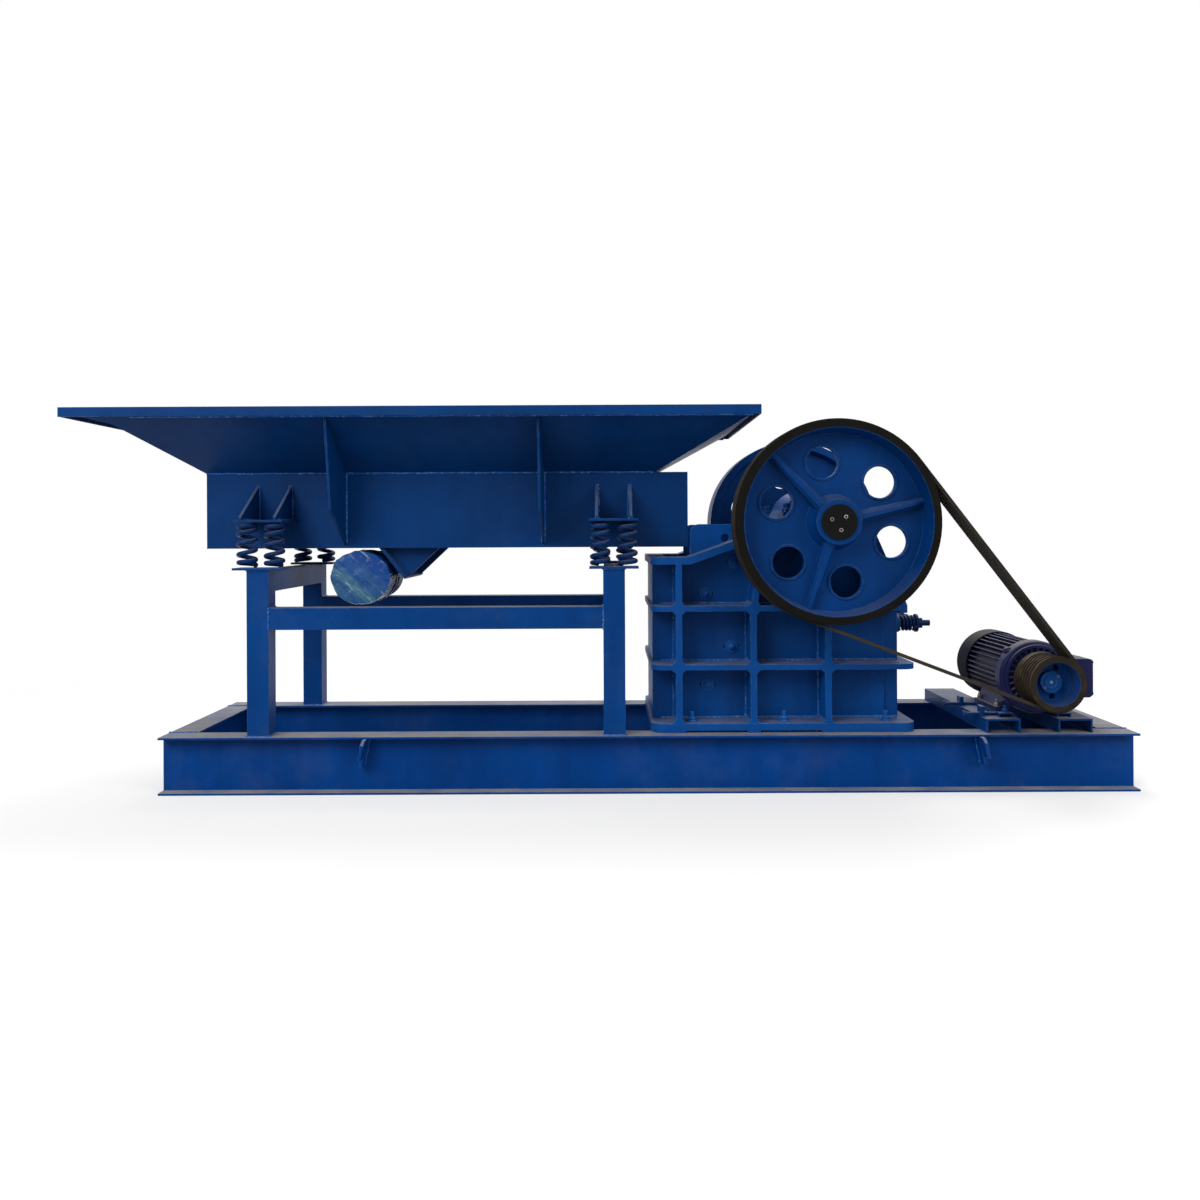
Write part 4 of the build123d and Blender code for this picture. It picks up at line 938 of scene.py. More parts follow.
@dataclass(frozen=True)
class SocketScrews:
    """Ring of socket screw heads, each with its recess."""

    radius: float
    circle: float
    count: int
    first: float = math.radians(40)
    half: float = 0.002
    sides: int = 24
    rounding: float = 0.08
    land: float = 0.35
    socket_slope: float = 0.05
    socket_depth: float = 0.003

    def model(self) -> Piece:
        """Models one head, half of it above the XY plane.

        Returns:
            The head.
        """
        head = Bench.cylinder(self.sides, self.radius, -self.half, self.half)
        Bench.bevel_rim(head, self.half, self.radius * self.rounding)
        Bench.inset_top(head, (self.radius * self.land, 0.0), (self.radius * self.socket_slope, -self.socket_depth))
        return head

    def fit(self, name: str, axis: Vector, faces: dict[float, Facing]) -> Piece:
        """Sets the ring on one or two faces.

        Args:
            name: The piece's name.
            axis: A point on the ring's axis.
            faces: The way the heads look on each face, by the face's Y.

        Returns:
            The screws as one piece.
        """
        angles = [self.first + math.tau * turn / self.count for turn in range(self.count)]
        places = [facing.at((axis.x + self.circle * math.cos(angle), y, axis.z + self.circle * math.sin(angle)))
                  for y, facing in faces.items() for angle in angles]
        return Bench.copies(self.model(), places, name)


@dataclass(frozen=True)
class Seam:
    """A straight weld between two points."""

    start: Point
    stop: Point
    radius: float

    def flipped(self) -> "Seam":
        """Its mirror image across the plant's middle plane."""
        return Seam(flipped(self.start), flipped(self.stop), self.radius)


@dataclass(frozen=True)
class WeldRun:
    """Weld beads with the ripple of a hand-laid run."""

    step: float = 0.011
    ripple: float = 0.006
    ripple_size: float = 0.008
    sides: int = 7

    def bead(self, seam: Seam) -> Piece:
        """Models one bead along its seam.

        Args:
            seam: The seam.

        Returns:
            The bead.
        """
        run = Vector(seam.stop) - Vector(seam.start)
        bead = Bench.ringed(self.sides, seam.radius, run.length, max(1, round(run.length / self.step)))
        bead.data.transform(aimed(seam.start, run))
        return bead

    def lay(self, name: str, seams: Sequence[Seam]) -> Piece:
        """Lays all the seams as one rippled piece.

        Args:
            name: The piece's name.
            seams: The seams.

        Returns:
            The beads as one piece.
        """
        piece = Bench.join([self.bead(seam) for seam in seams], name)
        Bench.displace(piece, "CLOUDS", self.ripple_size, self.ripple, 0.5)
        return piece


@dataclass
class Assembly:
    """A sub-assembly that dresses its CAD nodes and models its own small pieces."""

    paint: PaintShop
    made: list[Piece] = field(default_factory=list)
    finishes: ClassVar[dict[str, tuple[str, ...]]] = {}

    def add(self, piece: Piece, body: Body, finish: str, slot: str, shade: Shade = Shade.MACHINED) -> None:
        """Shades and dresses a new piece and lets it ride on its body.

        Args:
            piece: The modelled piece.
            body: What it moves with.
            finish: Its finish in the paint shop.
            slot: Not used.
            shade: How far it is shaded smooth.
        """
        if shade is not Shade.FLAT:
            Bench.smooth(piece, shade)
        self.paint.dress(piece, finish)
        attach(piece, body.value)
        self.made.append(piece)

    def weld(self, name: str, seams: list[Seam], body: Body, slot: str) -> None:
        """Lays seams and their mirror images as one piece."""
        welds = WeldRun().lay(name, seams + [seam.flipped() for seam in seams])
        self.add(welds, body, "weld_paint_glints", slot, Shade.ROUND)

    def dress(self) -> None:
        """Gives the CAD nodes their finishes."""
        for finish, nodes in self.finishes.items():
            for node in nodes:
                self.paint.dress(NODES[node], finish)

    def build(self) -> None:
        """Models the sub-assembly's own pieces."""


@dataclass
class Skid(Assembly):
    """Frame of H beams with its tie hooks."""

    finishes = {"skid_paint": ("front_rail", "rear_rail", "end_beams", "crusher_cross_beams", "tie_hooks")}
    bead: float = 0.0055
    beam_flange: float = 0.125
    flange_thick: float = 0.012
    web_half: float = 0.004
    hook_thick: float = 0.014
    hook_lean: float = 0.024

    def build(self) -> None:
        """Welds the cross beams and the hooks to the rails."""
        rail_low, rail_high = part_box("front_rail")
        inner = rail_high.y
        seams = []
        for node in ("end_beams", "crusher_cross_beams"):
            low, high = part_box(node)
            for x in (low.x, high.x - self.beam_flange):
                for z in (rail_high.z, rail_low.z + self.flange_thick):
                    seams.append(Seam((x, inner, z), (x + self.beam_flange, inner, z), self.bead))
        low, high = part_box("tie_hooks")
        web = (rail_low.y + rail_high.y) / 2 - self.web_half
        lean, thick = self.hook_lean, self.hook_thick
        for x, shift in ((low.x, lean), (low.x + thick, lean), (high.x - thick, -lean), (high.x, -lean)):
            seams.append(Seam((x, web, low.z), (x + shift, web, high.z), self.bead))
        self.weld("skid_welds", seams, Body.PLANT, "skid_paint")


@dataclass
class FeederStand(Assembly):
    """Four square legs with stretchers and spring seats."""

    finishes = {"stand_paint": ("feeder_legs", "side_stretchers", "end_stretchers", "spring_seats")}
    leg: float = 0.095
    bead: float = 0.005

    def build(self) -> None:
        """Welds the legs to the skid and the stretchers to the legs."""
        low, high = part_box("feeder_legs")
        near, far = low.y, low.y + self.leg
        seams = []
        for left in (low.x, high.x - self.leg):
            right = left + self.leg
            corners = [(left, near), (right, near), (right, far), (left, far)]
            for z in (low.z, high.z):
                for a, b in zip(corners, corners[1:] + corners[:1]):
                    seams.append(Seam((*a, z), (*b, z), self.bead))
        low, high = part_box("side_stretchers")
        for x in (low.x, high.x):
            for z in (low.z, high.z):
                seams.append(Seam((x, low.y, z), (x, low.y + self.leg, z), self.bead))
            seams.append(Seam((x, low.y, low.z), (x, low.y, high.z), self.bead))
        self.weld("stand_welds", seams, Body.PLANT, "stand_paint")


@dataclass
class FeederSprings(Assembly):
    """Eight coil springs with closed ends that carry the feeder."""

    finishes = {"spring_paint": ("tension_springs",)}
    diameter: float = 0.092
    wire: float = 0.021
    spacing: float = 0.12
    active_turns: int = 3
    steps: int = 28
    wire_sides: int = 14
    seat_gap: float = 0.0004
    closed_pitch: float = 1.03
    twist: float = 0.9

    def helix(self, base: float, pitch: float, turns: int) -> Piece:
        """Models a stretch of coil that climbs by its pitch.

        Args:
            base: Height where it starts.
            pitch: How far a turn climbs.
            turns: How many turns it has.

        Returns:
            The stretch, open at both ends.
        """
        Bench.clear()
        bpy.ops.mesh.primitive_circle_add(vertices=self.wire_sides, radius=self.wire / 2, fill_type="NOTHING",
                                          location=((self.diameter - self.wire) / 2, 0, base),
                                          rotation=(math.pi / 2, 0, 0))
        coil = Bench.settle(bpy.context.object)
        Bench.apply(coil, "SCREW", angle=math.tau, screw_offset=pitch, iterations=turns, steps=self.steps,
                    render_steps=self.steps, axis="Z", use_merge_vertices=False)
        return coil

    def spring(self, bottom: float, top: float) -> Piece:
        """Models one spring with a closed coil at each end.

        Args:
            bottom: Height of its lower seat.
            top: Height of its upper seat.

        Returns:
            The spring on the Z axis.
        """
        first = bottom + self.seat_gap + self.wire / 2
        last = top - self.seat_gap - self.wire / 2
        closed = self.wire * self.closed_pitch
        pitch = (last - first - 2 * closed) / self.active_turns
        stretches = [self.helix(first, closed, 1), self.helix(first + closed, pitch, self.active_turns),
                     self.helix(last - closed, closed, 1)]
        spring = Bench.join(stretches, "spring_pattern")
        Bench.only(spring)
        bpy.ops.object.mode_set(mode="EDIT")
        bpy.ops.mesh.select_all(action="SELECT")
        bpy.ops.mesh.remove_doubles(threshold=2e-5)
        bpy.ops.mesh.select_mode(type="EDGE")
        bpy.ops.mesh.select_all(action="DESELECT")
        bpy.ops.mesh.select_non_manifold()
        bpy.ops.mesh.fill_holes(sides=0)
        Bench.clear()
        Bench.outward(spring)
        return spring

    def build(self) -> None:
        """Stands a pair of springs on each leg and stretches them between stand and feeder."""
        low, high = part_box("feeder_springs")
        half = self.diameter / 2
        left, right = low.x + half, high.x - half
        spots = mirrored((x, low.y + half, 0.0) for x in (left, left + self.spacing, right - self.spacing, right))
        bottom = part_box("spring_seats")[1].z
        top = high.z + self.seat_gap
        places = [Matrix.Translation(spot) @ Matrix.Rotation(self.twist * count, 4, "Z")
                  for count, spot in enumerate(spots)]
        springs = Bench.copies(self.spring(bottom, top), places, "coil_springs")
        Bench.smooth(springs, Shade.ROUND)
        self.paint.dress(springs, "spring_paint")
        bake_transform(springs)
        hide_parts("feeder_springs")
        self.made.append(springs)


@dataclass
class Feeder(Assembly):
    """Trough and flared hopper."""

    finishes = {"feeder_paint": ("feeder_trough", "spring_brackets", "hopper_front_panel", "hopper_rear_panel",
                                 "hopper_loading_panel", "hopper_discharge_panel", "hopper_rim", "hopper_gussets",
                                 "vibrator_mount")}
    bead: float = 0.006
    lap: float = 0.01
    gusset: float = 0.010
    shelf_drop: float = 0.94
    shelf_tip: float = 0.02
    first_rib: float = 0.0265
    last_rib: float = 0.1885
    rib_spacing: float = 0.15
    rib: float = 0.012
    rim_start: float = 0.3
    rim_stop: float = 0.03
    rim_inset: float = 0.012

    def build(self) -> None:
        """Welds the hopper, its gussets and the spring brackets to the trough."""
        low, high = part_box("feeder_trough")
        side, top, bead = low.y, high.z, self.bead
        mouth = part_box("hopper_discharge_panel")[0].x
        seams = [Seam((low.x, side, top), (mouth + self.lap, side, top), bead)]
        low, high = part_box("hopper_gussets")
        for x in (low.x, low.x + self.gusset, high.x - self.gusset, high.x):
            seams.append(Seam((x, side, low.z + self.lap), (x, side, top), bead))
        low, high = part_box("spring_brackets")
        shelf = high.z - (high.z - low.z) * self.shelf_drop
        for first in (low.x + self.first_rib, high.x - self.last_rib):
            for start in (first, first + self.rib_spacing):
                for x in (start, start + self.rib):
                    seams.append(Seam((x, side, shelf), (x, side, high.z), bead))
                    seams.append(Seam((x, low.y + self.shelf_tip, shelf), (x, side, shelf), bead))
        low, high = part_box("hopper_rim")
        edge = low.y + self.rim_inset
        seams.append(Seam((low.x + self.rim_start, edge, low.z), (high.x - self.rim_stop, edge, low.z), bead))
        self.weld("feeder_welds", seams, Body.FEEDER, "feeder_paint")


@dataclass
class Vibrator(Assembly):
    """Unbalance motor under the trough, its belt-side end still in packing film."""

    finishes = {"vibrator_paint": ("vibrator",)}
    radius: float = 0.116
    length: float = 0.17
    stand_off: float = 0.002
    widening: float = 1.13
    sides: int = 128
    rings: int = 24
    face_rings: int = 9
    face_eye: float = 1.5
    face_step: float = 0.0008
    film_folds: tuple[tuple[str, float, float, float], ...] = (("CLOUDS", 0.06, 0.014, 0.38),
                                                               ("STUCCI", 0.022, 0.005, 0.35))
    film_thick: float = 0.0008
    tie_width: float = 0.02
    tie_rings: int = 4
    tie_rise: float = 0.004
    tie_shift: float = 0.004
    tie_folds: tuple[tuple[str, float, float, float], ...] = (("STUCCI", 0.02, 0.006, 0.3),)
    tie_thick: float = 0.002

    def wrap(self, sleeve: Piece, name: str, place: Matrix, folds: Sequence[tuple], thick: float) -> Piece:
        """Pulls a sleeve over the vibrator's end and crumples it.

        Args:
            sleeve: The open sleeve on the Z axis.
            name: The piece's name.
            place: Where it goes.
            folds: Texture, size, depth and resting value of each round of folds.
            thick: The sheet's thickness.

        Returns:
            The same piece.
        """
        sleeve.data.transform(place @ Matrix.Scale(self.widening, 4, (1, 0, 0)))
        Bench.outward(sleeve)
        sleeve.name = name
        for fold in folds:
            Bench.displace(sleeve, *fold)
        Bench.apply(sleeve, "SOLIDIFY", thickness=thick, offset=1.0)
        return sleeve

    def build(self) -> None:
        """Wraps the end that looks to the belt side and ties the film with tape."""
        low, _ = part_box("vibrator")
        radius = self.radius + self.stand_off
        back = Facing.FRONT.at((low.x + self.radius, low.y + self.length - self.stand_off, low.z + self.radius))
        film = Bench.ringed(self.sides, radius, self.length, self.rings)
        Bench.inset_top(film, *[(radius / (self.face_rings + self.face_eye), self.face_step)] * self.face_rings)
        Bench.edit_faces(film, lambda centre, normal: normal.z < -0.9, bpy.ops.mesh.delete, type="FACE")
        film = self.wrap(film, "packing_film", back, self.film_folds, self.film_thick)
        self.add(film, Body.FEEDER, "packing_film", "vibrator_paint", Shade.CREASED)
        tie = Bench.ringed(self.sides, radius + self.tie_rise, self.tie_width, self.tie_rings)
        Bench.edit_faces(tie, lambda centre, normal: abs(normal.z) > 0.9, bpy.ops.mesh.delete, type="FACE")
        place = back @ Matrix.Translation((0, 0, self.tie_shift))
        tie = self.wrap(tie, "film_tie", place, self.tie_folds, self.tie_thick)
        self.add(tie, Body.FEEDER, "tape_tan", "vibrator_paint")


@dataclass
class Crusher(Assembly):
    """Ribbed crusher frame, bearings, jaws and toggle."""

    finishes = {
        "crusher_paint": ("crusher_base", "front_side_frame", "rear_side_frame", "feed_end_wall", "toggle_end_wall",
                          "bearing_housings", "swing_jaw", "barrel_covers", "side_liners", "toggle_seat",
                          "toggle_plate"),
        "spring_paint": ("tension_rods",),
        "jaw_steel": ("fixed_jaw_plate", "swing_jaw_plate"),
        "shaft_steel": ("eccentric_shaft",),
    }
    bead: float = 0.008
    rib: float = 0.024
    rib_levels: tuple[float, float] = (0.525, 0.783)
    rib_end: float = 0.05
    upright: float = 0.028
    upright_spacing: float = 0.328
    saddle_drop: float = 0.05
    ledge: float = 0.985
    wall_depth: float = 0.15
    cheek_bolts: tuple[Step, ...] = ((0.447, 0.853), (0.579, 0.994), (0.456, 0.44), (0.565, 0.613))
    base_bolts: tuple[float, ...] = (0.377, 0.787, 1.24)
    base_bolt_share: float = 0.45
    cover_radius: float = 0.112
    cover_sides: int = 64
    cover_thick: float = 0.016
    cover_round: float = 0.002
    cover_steps: tuple[Step, ...] = ((0.032, 0.0), (0.001, 0.006))
    cover_bolts: int = 6
    cover_bolt_inset: float = 0.016
    ear_reach: float = 0.16
    ear_rows: tuple[float, float] = (0.04, 0.11)
    ear_rise: float = 0.046

    def rib_seams(self, wall: float, base: float, shaft: Vector) -> list[Seam]:
        """Seams between the belt-side wall and its grid of ribs.

        Args:
            wall: The wall's Y.
            base: Height of the base plate's top.
            shaft: A point on the shaft's axis.

        Returns:
            The seams.
        """
        low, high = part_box("front_side_frame")
        levels = [base] + [level + step for level in self.rib_levels for step in (0.0, self.rib)]
        seams = [Seam((low.x + self.rib_end, wall, z), (high.x - self.rib_end, wall, z), self.bead) for z in levels]
        for count, top in enumerate((shaft.z - self.saddle_drop, self.rib_levels[1], self.ledge)):
            x = shaft.x - count * self.upright_spacing
            for edge in (x - self.upright / 2, x + self.upright / 2):
                seams.append(Seam((edge, wall, base), (edge, wall, top), self.bead))
        return seams

    def bearing_cover(self) -> Piece:
        """Models the bolted plate that closes a bearing housing.

        Returns:
            The plate on the XY plane.
        """
        plate = Bench.cylinder(self.cover_sides, self.cover_radius, 0.0, self.cover_thick)
        Bench.bevel_rim(plate, self.cover_thick, self.cover_round)
        Bench.inset_top(plate, *self.cover_steps)
        out = Matrix.Translation((self.cover_radius - self.cover_bolt_inset, 0, self.cover_thick))
        places = [turn @ out for turn in around(self.cover_bolts, math.pi / self.cover_bolts)]
        bolts = Bench.copies(Bolts.COVER.value.model(), places, "cover_bolts")
        return Bench.join([plate, bolts], "bearing_cover_pattern")

    def build(self) -> None:
        """Bolts, covers and welds the crusher together."""
        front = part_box("front_side_frame")[0].y
        wall = front + self.wall_depth
        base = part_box("crusher_base")[1].z
        near, far = (corner.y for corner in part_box("bearing_housings"))
        shaft = Bench.centre_of("drive_flywheel")
        cheek = [(x, wall, z) for x, z in self.cheek_bolts]
        feet = mirrored((x, front + self.wall_depth * self.base_bolt_share, base) for x in self.base_bolts)
        ears = mirrored((shaft.x + reach, near + row, shaft.z + self.ear_rise)
                        for reach in (-self.ear_reach, self.ear_reach) for row in self.ear_rows)
        for name, bolt, spots, facing in (
                ("cheek_bolts_front", Bolts.CHEEK, cheek, Facing.FRONT),
                ("cheek_bolts_rear", Bolts.CHEEK, [flipped(spot) for spot in cheek], Facing.REAR),
                ("base_bolts", Bolts.ANCHOR, feet, Facing.UP),
                ("bearing_bolts", Bolts.ANCHOR, ears, Facing.UP)):
            self.add(bolt.value.fit(name, spots, facing), Body.PLANT, "bolt_paint_highlight", "crusher_paint")
        places = [Facing.FRONT.at((shaft.x, near, shaft.z)), Facing.REAR.at((shaft.x, far, shaft.z))]
        covers = Bench.copies(self.bearing_cover(), places, "bearing_covers")
        self.add(covers, Body.PLANT, "crusher_paint", "crusher_paint")
        self.weld("crusher_welds", self.rib_seams(wall, base, shaft), Body.PLANT, "crusher_paint")


@dataclass
class Drive(Assembly):
    """Flywheels, belts and the motor pulley."""

    finishes = {
        "wheel_paint": ("drive_flywheel",),
        "rear_wheel_paint": ("rear_flywheel",),
        "cap_black": ("hub_caps",),
        "belt_rubber": ("drive_belts",),
        "pulley_steel": ("motor_pulley",),
        "shaft_steel": ("motor_shaft",),
    }
    cap_screws: SocketScrews = SocketScrews(radius=0.0085, circle=0.034, count=3)
    set_screws: SocketScrews = SocketScrews(radius=0.0055, circle=0.037, count=2)
    bush_radius: float = 0.031
    bush_sides: int = 48
    bush_rise: float = 0.003
    bush_sink: float = 0.001
    bush_round: float = 0.001
    bush_steps: tuple[Step, ...] = ((0.00682, 0.0), (0.001, -0.0021), (0.0155, 0.0), (0.0008, -0.002))
    wheel_width: float = 0.19
    web_front: float = 0.084
    ribs: int = 3
    rib_angle: float = math.radians(13)
    rib_start: float = 0.081
    rib_stop: float = 0.389
    rib_hub_rise: float = 0.066
    rib_rim_rise: float = 0.022
    rib_hub_half: float = 0.0265
    rib_rim_share: float = 30 / 54
    crown_rise: float = 0.018
    crown_slope: float = 0.0165
    crown_sink: float = 0.002

    def rib_crown(self) -> Piece:
        """Ridged top of a wheel's rib, along +X from the wheel's axis, with the wheel's back on the XY plane.

        Returns:
            The crown.
        """
        reach = self.rib_stop - self.rib_start
        drop = math.atan2(self.rib_hub_rise - self.rib_rim_rise, reach)
        length = reach / math.cos(drop)
        half, share = self.rib_hub_half, self.rib_rim_share
        crown = Bench.block((0.0, -half, -self.crown_sink), (length, half, self.crown_rise))
        Bench.bevel(crown, lambda a, b: abs(a.x - b.x) > length / 2 and min(a.z, b.z) > 0.0, self.crown_slope, 1)
        Bench.edit_faces(crown, lambda centre, normal: normal.x > 0.9, bpy.ops.transform.resize,
                         value=(1.0, share, share), center_override=(length, 0, 0))
        foot = Matrix.Translation((self.rib_start, 0, self.web_front + self.rib_hub_rise))
        crown.data.transform(foot @ Matrix.Rotation(drop, 4, "Y"))
        return crown

    def bush(self) -> Piece:
        """Stepped bush in the middle of the pulley, on the XY plane.

        Returns:
            The bush.
        """
        bush = Bench.cylinder(self.bush_sides, self.bush_radius, -self.bush_sink, self.bush_rise)
        Bench.bevel_rim(bush, self.bush_rise, self.bush_round)
        Bench.inset_top(bush, *self.bush_steps)
        bush.name = "pulley_bush"
        return bush

    def build(self) -> None:
        """Crowns the wheels' ribs, and fits the keeper screws and the bush and set screws of the pulley."""
        hub = Bench.centre_of("drive_flywheel")
        front = Facing.FRONT.at((hub.x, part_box("drive_flywheel")[0].y + self.wheel_width, hub.z))
        rear = Facing.REAR.at((hub.x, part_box("rear_flywheel")[1].y - self.wheel_width, hub.z))
        places = [back @ turn for back, start in ((front, self.rib_angle), (rear, -self.rib_angle))
                  for turn in around(self.ribs, start)]
        crowns = Bench.copies(self.rib_crown(), places, "wheel_rib_crowns")
        self.add(crowns, Body.ROTOR, "rear_wheel_paint", "wheel_paint", Shade.FLAT)
        near, far = (corner.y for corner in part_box("hub_caps"))
        screws = self.cap_screws.fit("cap_screws", hub, {near: Facing.FRONT, far: Facing.REAR})
        self.add(screws, Body.ROTOR, "shaft_steel", "cap_black")
        axis = Bench.centre_of("motor_pulley")
        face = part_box("motor_shaft")[0].y
        bush = self.bush()
        bush.data.transform(Facing.FRONT.at((axis.x, face, axis.z)))
        self.add(bush, Body.MOTOR_ROTOR, "pulley_steel", "pulley_steel")
        setters = self.set_screws.fit("pulley_set_screws", axis, {face: Facing.FRONT})
        self.add(setters, Body.MOTOR_ROTOR, "plated_steel", "pulley_steel")


@dataclass
class Motor(Assembly):
    """Finned motor on its slide rails."""

    finishes = {
        "motor_paint": ("motor_housing", "terminal_box"),
        "fan_cover_paint": ("motor_fan_cover",),
        "stand_paint": ("slide_channels", "slide_rails", "belt_tension_screws"),
    }
    length: float = 0.585
    shield_length: float = 0.062
    foot_spacing: float = 0.254
    foot_bolt_inset: float = 0.03
    foot_bolt_shift: float = 0.016
    foot_length: float = 0.27
    foot_thick: float = 0.02
    slide_bolt_inset: float = 0.022
    shield_sink: float = 0.002
    shield_ribs: int = 28
    rib_start: float = 0.058
    rib_stop: float = 0.132
    rib_width: float = 0.007
    rib_rise: float = 0.014
    rib_step: Step = (0.0012, 0.001)
    ring_radius: float = 0.144
    ring_sides: int = 72
    ring_round: float = 0.003
    ring_steps: tuple[Step, ...] = ((0.011, 0.0), (0.001, -0.01358))
    lugs: int = 4
    lug_radius: float = 0.157
    lug_half: float = 0.017
    lug_sides: int = 24
    lug_thick: float = 0.026
    lug_round: float = 0.002
    lug_root: float = 0.02
    lid_rise: float = 0.009
    lid_inset: float = 0.004
    lid_corner: float = 0.014
    lid_round: float = 0.0025
    lid_step: Step = (0.0085, -0.0012)
    lid_screw_inset: float = 0.012
    fan_room: float = 0.112
    fan_radius: float = 0.142
    fan_sides: int = 64
    fan_plate: float = 0.005
    fan_plate_round: float = 0.0015
    fan_hub: float = 0.044
    fan_hub_sides: int = 40
    fan_depth: float = 0.062
    fan_round: float = 0.004
    fan_blades: int = 8
    fan_blade_half: float = 0.0025
    fan_blade_foot: float = 0.9
    fan_blade_step: Step = (0.001, 0.001)

    def shield(self) -> Piece:
        """End shield on the XY plane: a raised rim, and the cooling ribs that run out to it.

        Returns:
            The shield.
        """
        half, sink = self.rib_width / 2, -self.shield_sink
        rib = Bench.block((self.rib_start, -half, sink), (self.rib_stop, half, self.rib_rise - self.rib_step[1]))
        Bench.inset_top(rib, self.rib_step)
        spokes = Bench.copies(rib, around(self.shield_ribs), "shield_spokes")
        rim = Bench.cylinder(self.ring_sides, self.ring_radius, sink, self.rib_rise)
        Bench.bevel_rim(rim, self.rib_rise, self.ring_round)
        Bench.inset_top(rim, *self.ring_steps)
        return Bench.join([spokes, rim], "shield_ribs")

    def lug(self) -> Piece:
        """Bolted ear on the rim of the end shield, out along +X with its bolt looking up.

        Returns:
            The ear.
        """
        ear = Bench.cylinder(self.lug_sides, self.lug_half, -self.lug_thick, 0.0)
        Bench.bevel_rim(ear, 0.0, self.lug_round)
        Bench.edit_faces(ear, lambda centre, normal: normal.x < -0.75 and abs(normal.z) < 0.1,
                         bpy.ops.mesh.extrude_region_move, TRANSFORM_OT_translate={"value": (-self.lug_root, 0, 0)})
        lug = Bench.join([ear, Bolts.LUG.value.model()], "lug_pattern")
        lug.data.transform(Matrix.Translation((self.lug_radius, 0, 0)))
        return lug

    def lid(self) -> Piece:
        """Cover of the terminal box with its four screws, on the box's outer side.

        Returns:
            The cover.
        """
        low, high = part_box("terminal_box")
        middle = (low + high) / 2
        half_y = (high.y - low.y) / 2 - self.lid_inset
        half_z = (high.z - low.z) / 2 - self.lid_inset
        cover = Bench.block((-half_z, -half_y, 0.0), (half_z, half_y, self.lid_rise))
        Bench.bevel(cover, lambda a, b: abs(a.z - b.z) > self.lid_rise / 2, self.lid_corner, 5)
        Bench.bevel_rim(cover, self.lid_rise, self.lid_round)
        Bench.inset_top(cover, self.lid_step)
        across, along = half_z - self.lid_screw_inset, half_y - self.lid_screw_inset
        corners = [Matrix.Translation((x, y, self.lid_rise)) for x in (-across, across) for y in (-along, along)]
        screws = Bench.copies(Bolts.LID.value.model(), corners, "lid_screws")
        lid = Bench.join([cover, screws], "terminal_lid")
        lid.data.transform(Facing.RIGHT.at((high.x, middle.y, middle.z)))
        return lid

    def fan(self) -> Piece:
        """Cooling fan with straight blades, its plate on the XY plane.

        Returns:
            The fan.
        """
        plate = Bench.cylinder(self.fan_sides, self.fan_radius, 0.0, self.fan_plate)
        Bench.bevel_rim(plate, self.fan_plate, self.fan_plate_round)
        foot, half, edge = self.fan_plate / 2, self.fan_blade_half, self.fan_round
        hub = Bench.cylinder(self.fan_hub_sides, self.fan_hub, foot, self.fan_depth)
        Bench.bevel_rim(hub, self.fan_depth, edge)
        blade = Bench.block((self.fan_hub * self.fan_blade_foot, -half, foot),
                            (self.fan_radius - edge, half, self.fan_depth - edge))
        Bench.inset_top(blade, self.fan_blade_step)
        return Bench.join([plate, hub, Bench.copies(blade, around(self.fan_blades), "fan_blades")], "cooling_fan")

    def build(self) -> None:
        """Bolts the motor and its rails down, and finishes the shield, the terminal box and the fan."""
        axis = Bench.centre_of("motor_pulley")
        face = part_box("motor_fan_cover")[1].y - self.length
        low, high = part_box("slide_rails")
        start = face + self.shield_length
        rows = (start + self.foot_bolt_inset, start + self.foot_length - self.foot_bolt_inset)
        ends = (low.y + self.slide_bolt_inset, high.y - self.slide_bolt_inset)
        out = self.foot_spacing / 2
        for name, reach, ys, z, finish, slot in (
                ("motor_bolts", out + self.foot_bolt_shift, rows, high.z + self.foot_thick, "plated_steel",
                 "motor_paint"),
                ("slide_bolts", out, ends, high.z, "bolt_paint_highlight", "stand_paint")):
            spots = [(axis.x + shift, y, z) for shift in (-reach, reach) for y in ys]
            self.add(Bolts.MOTOR.value.fit(name, spots, Facing.UP), Body.PLANT, finish, slot)
        front = Facing.FRONT.at((axis.x, face, axis.z))
        shield = self.shield()
        shield.data.transform(front)
        self.add(shield, Body.PLANT, "motor_paint", "motor_paint")
        behind = front @ Matrix.Translation((0, 0, -self.shield_length / 2))
        turns = around(self.lugs, math.pi / self.lugs)
        lugs = Bench.copies(self.lug(), [behind @ turn for turn in turns], "shield_lugs")
        Bench.outward(lugs)
        self.add(lugs, Body.PLANT, "motor_paint", "motor_paint")
        self.add(self.lid(), Body.PLANT, "motor_paint", "motor_paint")
        fan = self.fan()
        fan.data.transform(Facing.REAR.at((axis.x, face + self.length - self.fan_room, axis.z)))
        self.add(fan, Body.MOTOR_ROTOR, "cap_black", "cap_black")


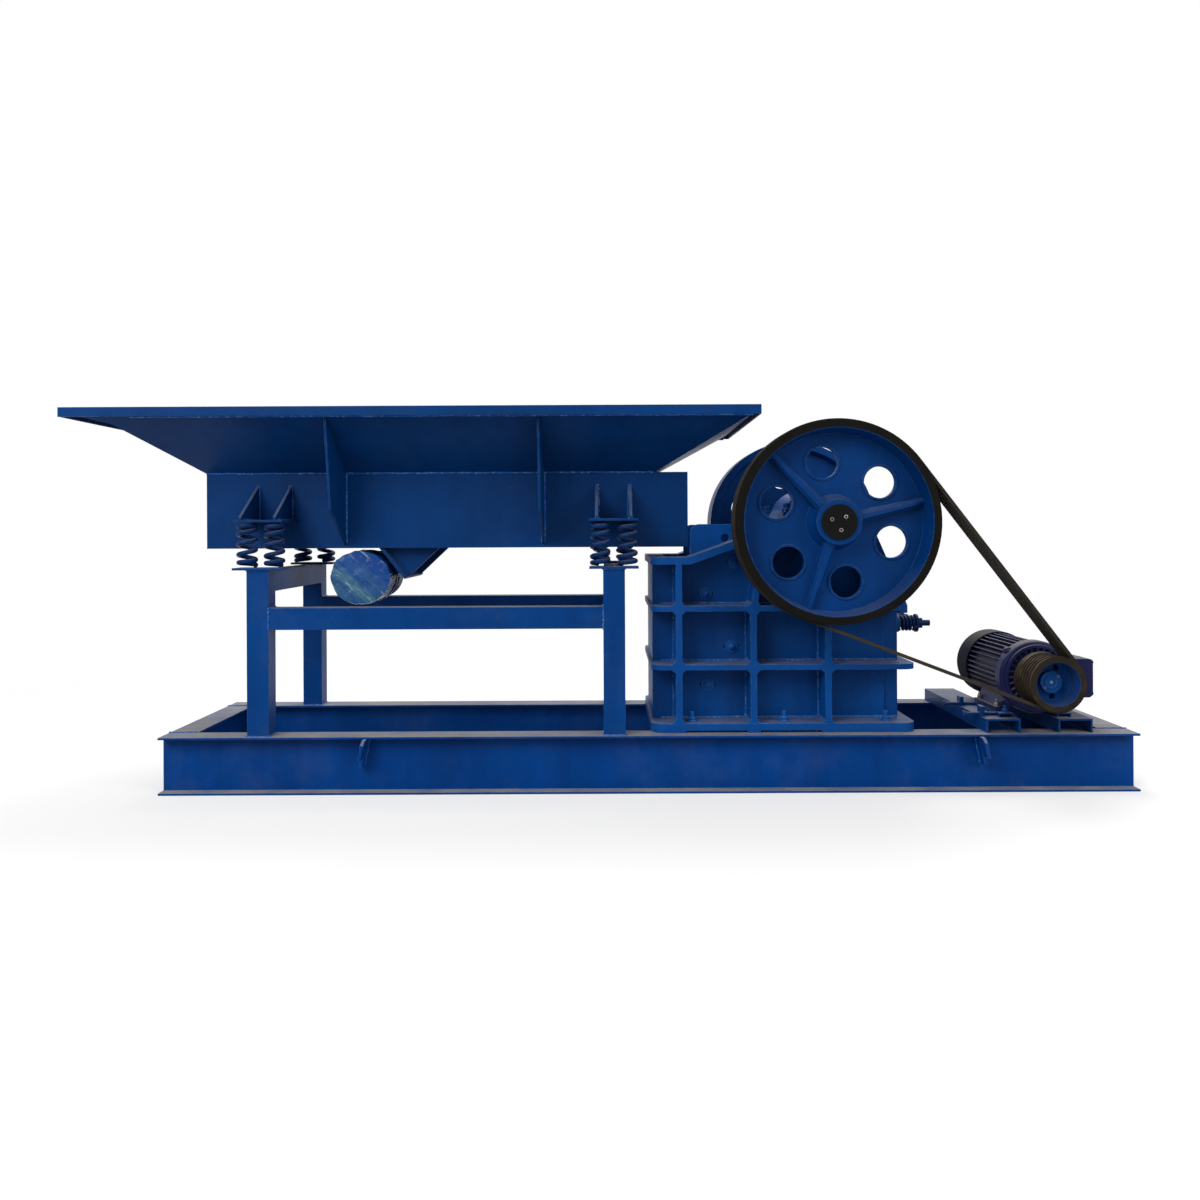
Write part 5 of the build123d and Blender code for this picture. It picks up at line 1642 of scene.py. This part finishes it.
@dataclass
class Studio:
    """Pale floor, white surroundings, soft lamps, and the camera where the photograph was taken."""

    camera: Point = (0.011, -4.925, 1.135)
    lens: float = 30.81
    sensor: float = 36.0
    roll: float = math.radians(-0.26)
    shift: tuple[float, float] = (-0.0075, -0.0567)
    floor: float = 60.0
    floor_lit: Colour = (0.4, 0.4, 0.4, 1.0)
    floor_seen: Colour = (0.8, 0.8, 0.8, 1.0)
    floor_roughness: float = 0.9
    floor_fade: tuple[float, float] = (2.6, 5.5)
    floor_glow: float = 0.5
    sky: float = 0.55
    aim: Point = (0.0, 0.0, 0.8)
    lamps: tuple[tuple[str, Point, float, float], ...] = (
        ("key_lamp", (-4.0, -5.5, 5.0), 4.0, 420.0),
        ("fill_lamp", (5.0, -4.5, 3.5), 4.0, 180.0),
        ("top_lamp", (0.5, 3.0, 6.0), 5.0, 420.0),
    )

    def build(self) -> None:
        """Sets the whole stage and shows colours as they are written."""
        bpy.context.scene.view_settings.view_transform = "Standard"
        self._floor()
        self._world()
        self._lamps()
        self._camera()

    @staticmethod
    def _seen(wiring: Wiring) -> Socket:
        """One where a ray from the camera, a reflection or a clear piece looks, else zero.

        Args:
            wiring: The tree's wiring.

        Returns:
            The mask's socket.
        """
        path = wiring.add("ShaderNodeLightPath")
        shown = wiring.math("MAXIMUM", path.outputs["Is Camera Ray"], path.outputs["Is Glossy Ray"])
        return wiring.math("MAXIMUM", shown, path.outputs["Is Transmission Ray"])

    def _floor(self) -> None:
        """Lays a pale floor that keeps the plant's shadow and fades to white."""
        Bench.clear()
        bpy.ops.mesh.primitive_plane_add(size=self.floor)
        floor = bpy.context.object
        floor.name = "studio_floor"
        material = bpy.data.materials.new("studio_floor")
        material.use_nodes = True
        nodes = material.node_tree.nodes
        wiring = Wiring(material.node_tree)
        seen = self._seen(wiring)
        shader = nodes["Principled BSDF"]
        wiring.feed(shader, {"Base Color": wiring.mix(seen, self.floor_lit, self.floor_seen),
                             "Roughness": self.floor_roughness, "Specular IOR Level": 0.0})
        white = wiring.add("ShaderNodeEmission", {"Color": WHITE, "Strength": 1.0})
        away = wiring.vector("LENGTH", wiring.place()).outputs["Value"]
        share = wiring.product(seen, wiring.spread(away, *self.floor_fade, self.floor_glow, 1.0))
        both = wiring.add("ShaderNodeMixShader", {0: share, 1: shader.outputs[0], 2: white.outputs[0]})
        wiring.feed(nodes["Material Output"], {"Surface": both.outputs[0]})
        floor.data.materials.append(material)

    def _world(self) -> None:
        """White where it is seen, softer where it only lights."""
        world = bpy.data.worlds.new("studio")
        bpy.context.scene.world = world
        world.use_nodes = True
        wiring = Wiring(world.node_tree)
        strength = wiring.spread(self._seen(wiring), 0.0, 1.0, self.sky, 1.0)
        wiring.feed(world.node_tree.nodes["Background"], {"Color": WHITE, "Strength": strength})

    def _lamps(self) -> None:
        """Hangs the soft lamps, aimed at the plant."""
        for name, place, size, power in self.lamps:
            lamp = bpy.data.lights.new(name, "AREA")
            lamp.size = size
            lamp.energy = power
            holder = bpy.data.objects.new(name, lamp)
            holder.location = place
            holder.rotation_euler = (Vector(self.aim) - Vector(place)).to_track_quat("-Z", "Y").to_euler()
            bpy.context.scene.collection.objects.link(holder)

    def _camera(self) -> None:
        """Stands the camera upright in front of the plant, looking straight across it."""
        data = bpy.data.cameras.new("camera")
        data.lens = self.lens
        data.sensor_width = self.sensor
        data.shift_x, data.shift_y = self.shift
        camera = bpy.data.objects.new("camera", data)
        level = Matrix.Rotation(math.pi / 2, 4, "X") @ Matrix.Rotation(self.roll, 4, "Z")
        camera.matrix_world = Matrix.Translation(self.camera) @ level
        bpy.context.scene.collection.objects.link(camera)
        bpy.context.scene.camera = camera


def main() -> None:
    """Builds the studio and every sub-assembly."""
    logging.basicConfig(level=logging.INFO, format="%(name)s: %(message)s")
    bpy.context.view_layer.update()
    Studio().build()
    paint = PaintShop()
    for kind in (Skid, FeederStand, FeederSprings, Feeder, Vibrator, Crusher, Drive, Motor):
        assembly = kind(paint)
        assembly.dress()
        assembly.build()
        for piece in assembly.made:
            LOG.info("%s: %s, %d faces", kind.__name__, piece.name, len(piece.data.polygons))


if __name__ == "__main__":
    main()
